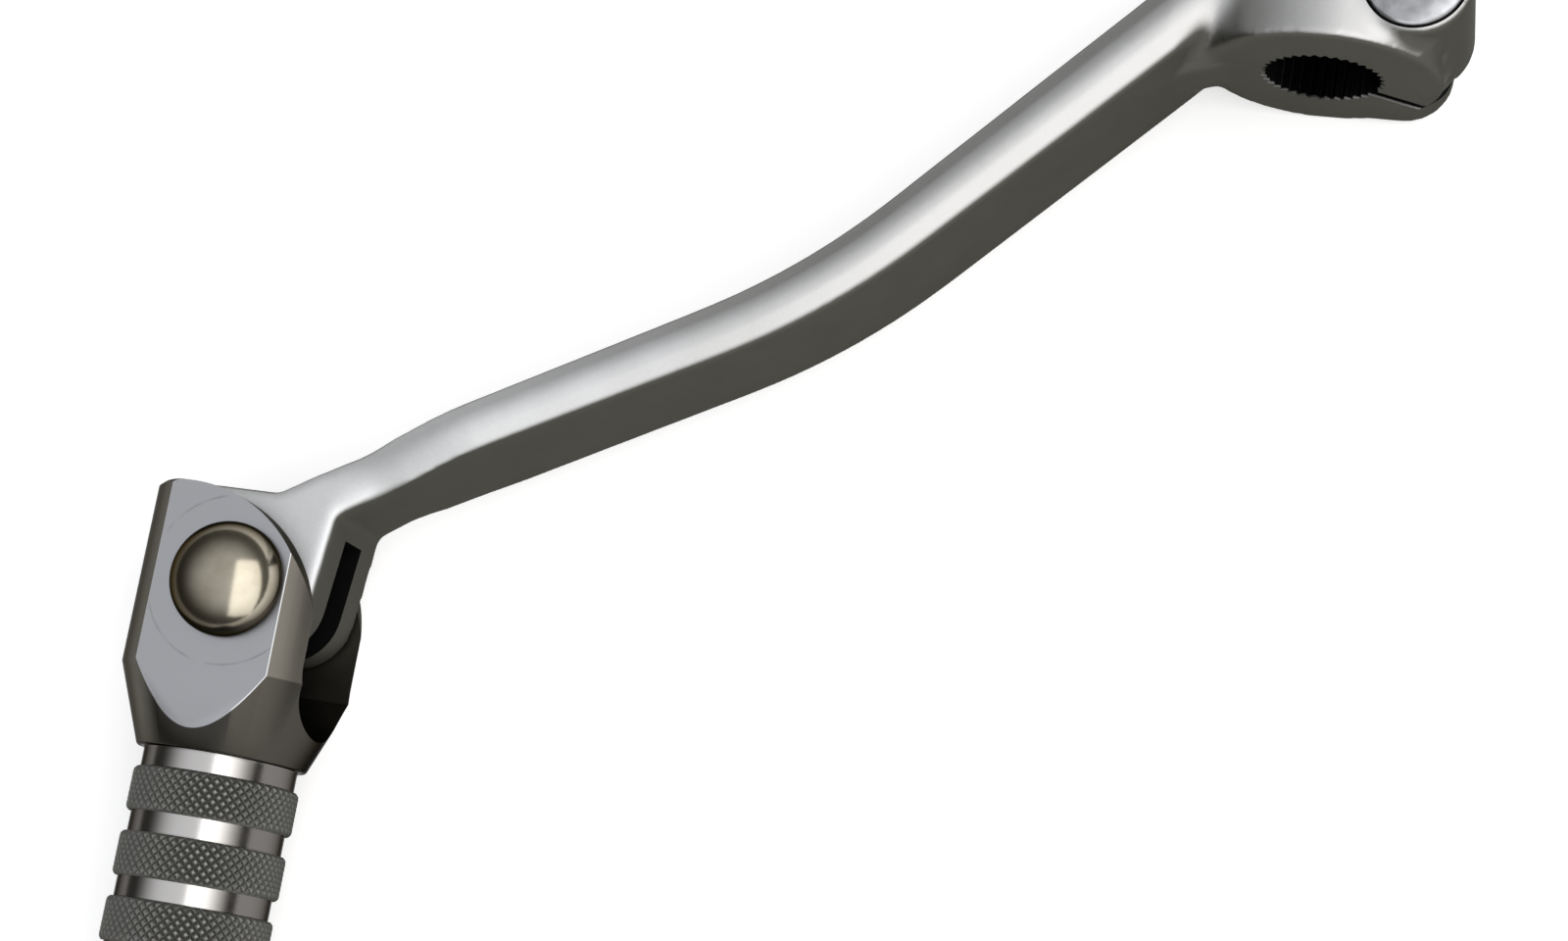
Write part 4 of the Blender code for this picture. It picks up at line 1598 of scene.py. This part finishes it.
def squared(first: Place, second: Place) -> tuple[Vector, Vector, Vector]:
    """Three unit directions square to each other: a first, one near the second, and a third."""
    one, near = Vector(first).normalized(), Vector(second)
    two = (near - one * one.dot(near)).normalized()
    return one, two, one.cross(two)


# --- studio ---


@dataclass
class Studio:
    """Pale floor, a dim room, a soft lamp and the camera above the lever."""

    layout: Layout
    floor_size: float = 6000.0
    floor_drop: float = 0.05
    floor_colour: Colour = (0.86, 0.86, 0.86)
    floor_glow: float = 0.5
    horizon: Colour = (0.13, 0.127, 0.117)
    zenith: Colour = (0.70, 0.71, 0.73)
    camera_from_pin: Place = (-126.385, 39.609, 286.028)
    camera_right: Place = (-0.9629, -0.1651, -0.2134)
    camera_up: Place = (0.1145, -0.9663, 0.2306)
    lens: float = 68.47
    sensor: float = 36.0
    clip: Pair = (0.01, 20.0)
    lamp_side: Place = (-0.64, 0.27, 0.72)
    lamp_along: Place = (0.03, 0.945, -0.325)
    lamp_distance: float = 900.0
    lamp_size: Pair = (2200.0, 1000.0)
    lamp_watts: float = 10.4
    lamp_colour: Colour = (1.0, 0.985, 0.96)

    def floor(self) -> None:
        """Pale floor that shows nearly white and keeps the lever's shadow."""
        made = Solid()
        bmesh.ops.create_grid(made.mesh, x_segments=1, y_segments=1, size=self.floor_size / 2)
        bmesh.ops.translate(made.mesh, vec=(0, 0, -self.floor_drop), verts=made.mesh.verts)
        piece = made.keep("studio_floor")
        shader = Shader("pale_floor")
        rays = shader.node("ShaderNodeLightPath").outputs
        camera, glossy, through = (
            Value(shader, rays[f"Is {kind} Ray"]) for kind in ("Camera", "Glossy", "Transmission")
        )
        glow = (camera + glossy + through) * self.floor_glow
        settings = shader.surface.inputs
        settings["Base Color"].default_value = (*self.floor_colour, 1)
        settings["Roughness"].default_value = 1.0
        settings["Specular IOR Level"].default_value = 0.0
        settings["Emission Strength"].default_value = 1.0
        shader.feed(settings["Emission Color"], shader.blend(glow, (0, 0, 0), (1, 1, 1)))
        piece.data.materials.append(shader.material)

    def lamp(self) -> None:
        """The soft rectangular lamp behind the lever."""
        data = bpy.data.lights.new("rear_lamp", "AREA")
        data.shape = "RECTANGLE"
        data.size, data.size_y = (length * MM for length in self.lamp_size)
        data.energy = self.lamp_watts
        data.color = self.lamp_colour
        aim, side, across = squared(self.lamp_side, self.lamp_along)
        turn = Matrix((side, across, aim)).transposed().to_4x4()
        spot = aim * self.lamp_distance * MM
        placed("rear_lamp", data).matrix_world = Matrix.Translation(spot) @ turn

    def camera(self) -> None:
        """The camera, above and a little behind the lever."""
        data = bpy.data.cameras.new("camera")
        data.lens = self.lens
        data.sensor_width = self.sensor
        data.clip_start, data.clip_end = self.clip
        turn = Matrix(squared(self.camera_right, self.camera_up)).transposed().to_4x4()
        spot = self.layout.from_pin(*self.camera_from_pin) * MM
        made = placed("camera", data)
        made.matrix_world = Matrix.Translation(spot) @ turn
        bpy.context.scene.camera = made

    def world(self) -> None:
        """Room that is dim at the horizon and pale overhead."""
        world = bpy.data.worlds.new("room")
        bpy.context.scene.world = world
        world.use_nodes = True
        graph = Graph(world.node_tree)
        way = graph.node("ShaderNodeTexCoord").outputs["Generated"]
        share = graph.dot(way, Vector((0, 0, 1))).between(0.25, 1.0)
        sky = graph.blend(share, self.horizon, self.zenith)
        graph.feed(world.node_tree.nodes["Background"].inputs["Color"], sky)

    def make(self) -> None:
        """Sets everything up."""
        self.camera()
        self.floor()
        self.world()
        self.lamp()
        bpy.context.scene.view_settings.view_transform = "Standard"


# --- main ---


def main() -> None:
    """Builds the lever's pieces in order, then the studio."""
    logging.basicConfig(level=logging.INFO, format="%(name)s: %(message)s")
    layout = Layout.from_frame()
    dress(ForgedArm(layout).make(), ForgedFinish(layout), Body.ARM, "lever_arm")

    plated = PlatedFinish()
    head, thread = ClampScrew(layout).make()
    dress(head, plated, Body.ARM, "clamp_bolt")
    dress(thread, plated, Body.ARM)

    tip = FoldingTip(layout)
    machined = MachinedFinish(tuple(layout.pin))
    dress(tip.body(), machined, Body.TIP, "folding_tip")
    dress(tip.neck(), GrooveFinish(), Body.TIP)
    axis = layout.from_pin(tip.offset, 0)
    knurled = KnurlFinish(axis.x, axis.z, tip.ring_radius, tip.ring_radius - tip.knurl_depth)
    for number in range(tip.ring_count):
        dress(tip.ring(number), knurled, Body.TIP)
    dress(tip.end_face(), machined, Body.TIP)

    pin = FoldPin(layout)
    dress(pin.pin(), PolishedFinish(), Body.TIP, "fold_pin")
    dress(pin.washer(), plated, Body.TIP, "pin_washer")
    spring, sprung = ReturnSpring(layout), SpringFinish()
    dress(spring.coils(), sprung, Body.ARM, "return_spring")
    dress(spring.leg(), sprung, Body.TIP)

    Studio(layout).make()


if __name__ == "__main__":
    main()
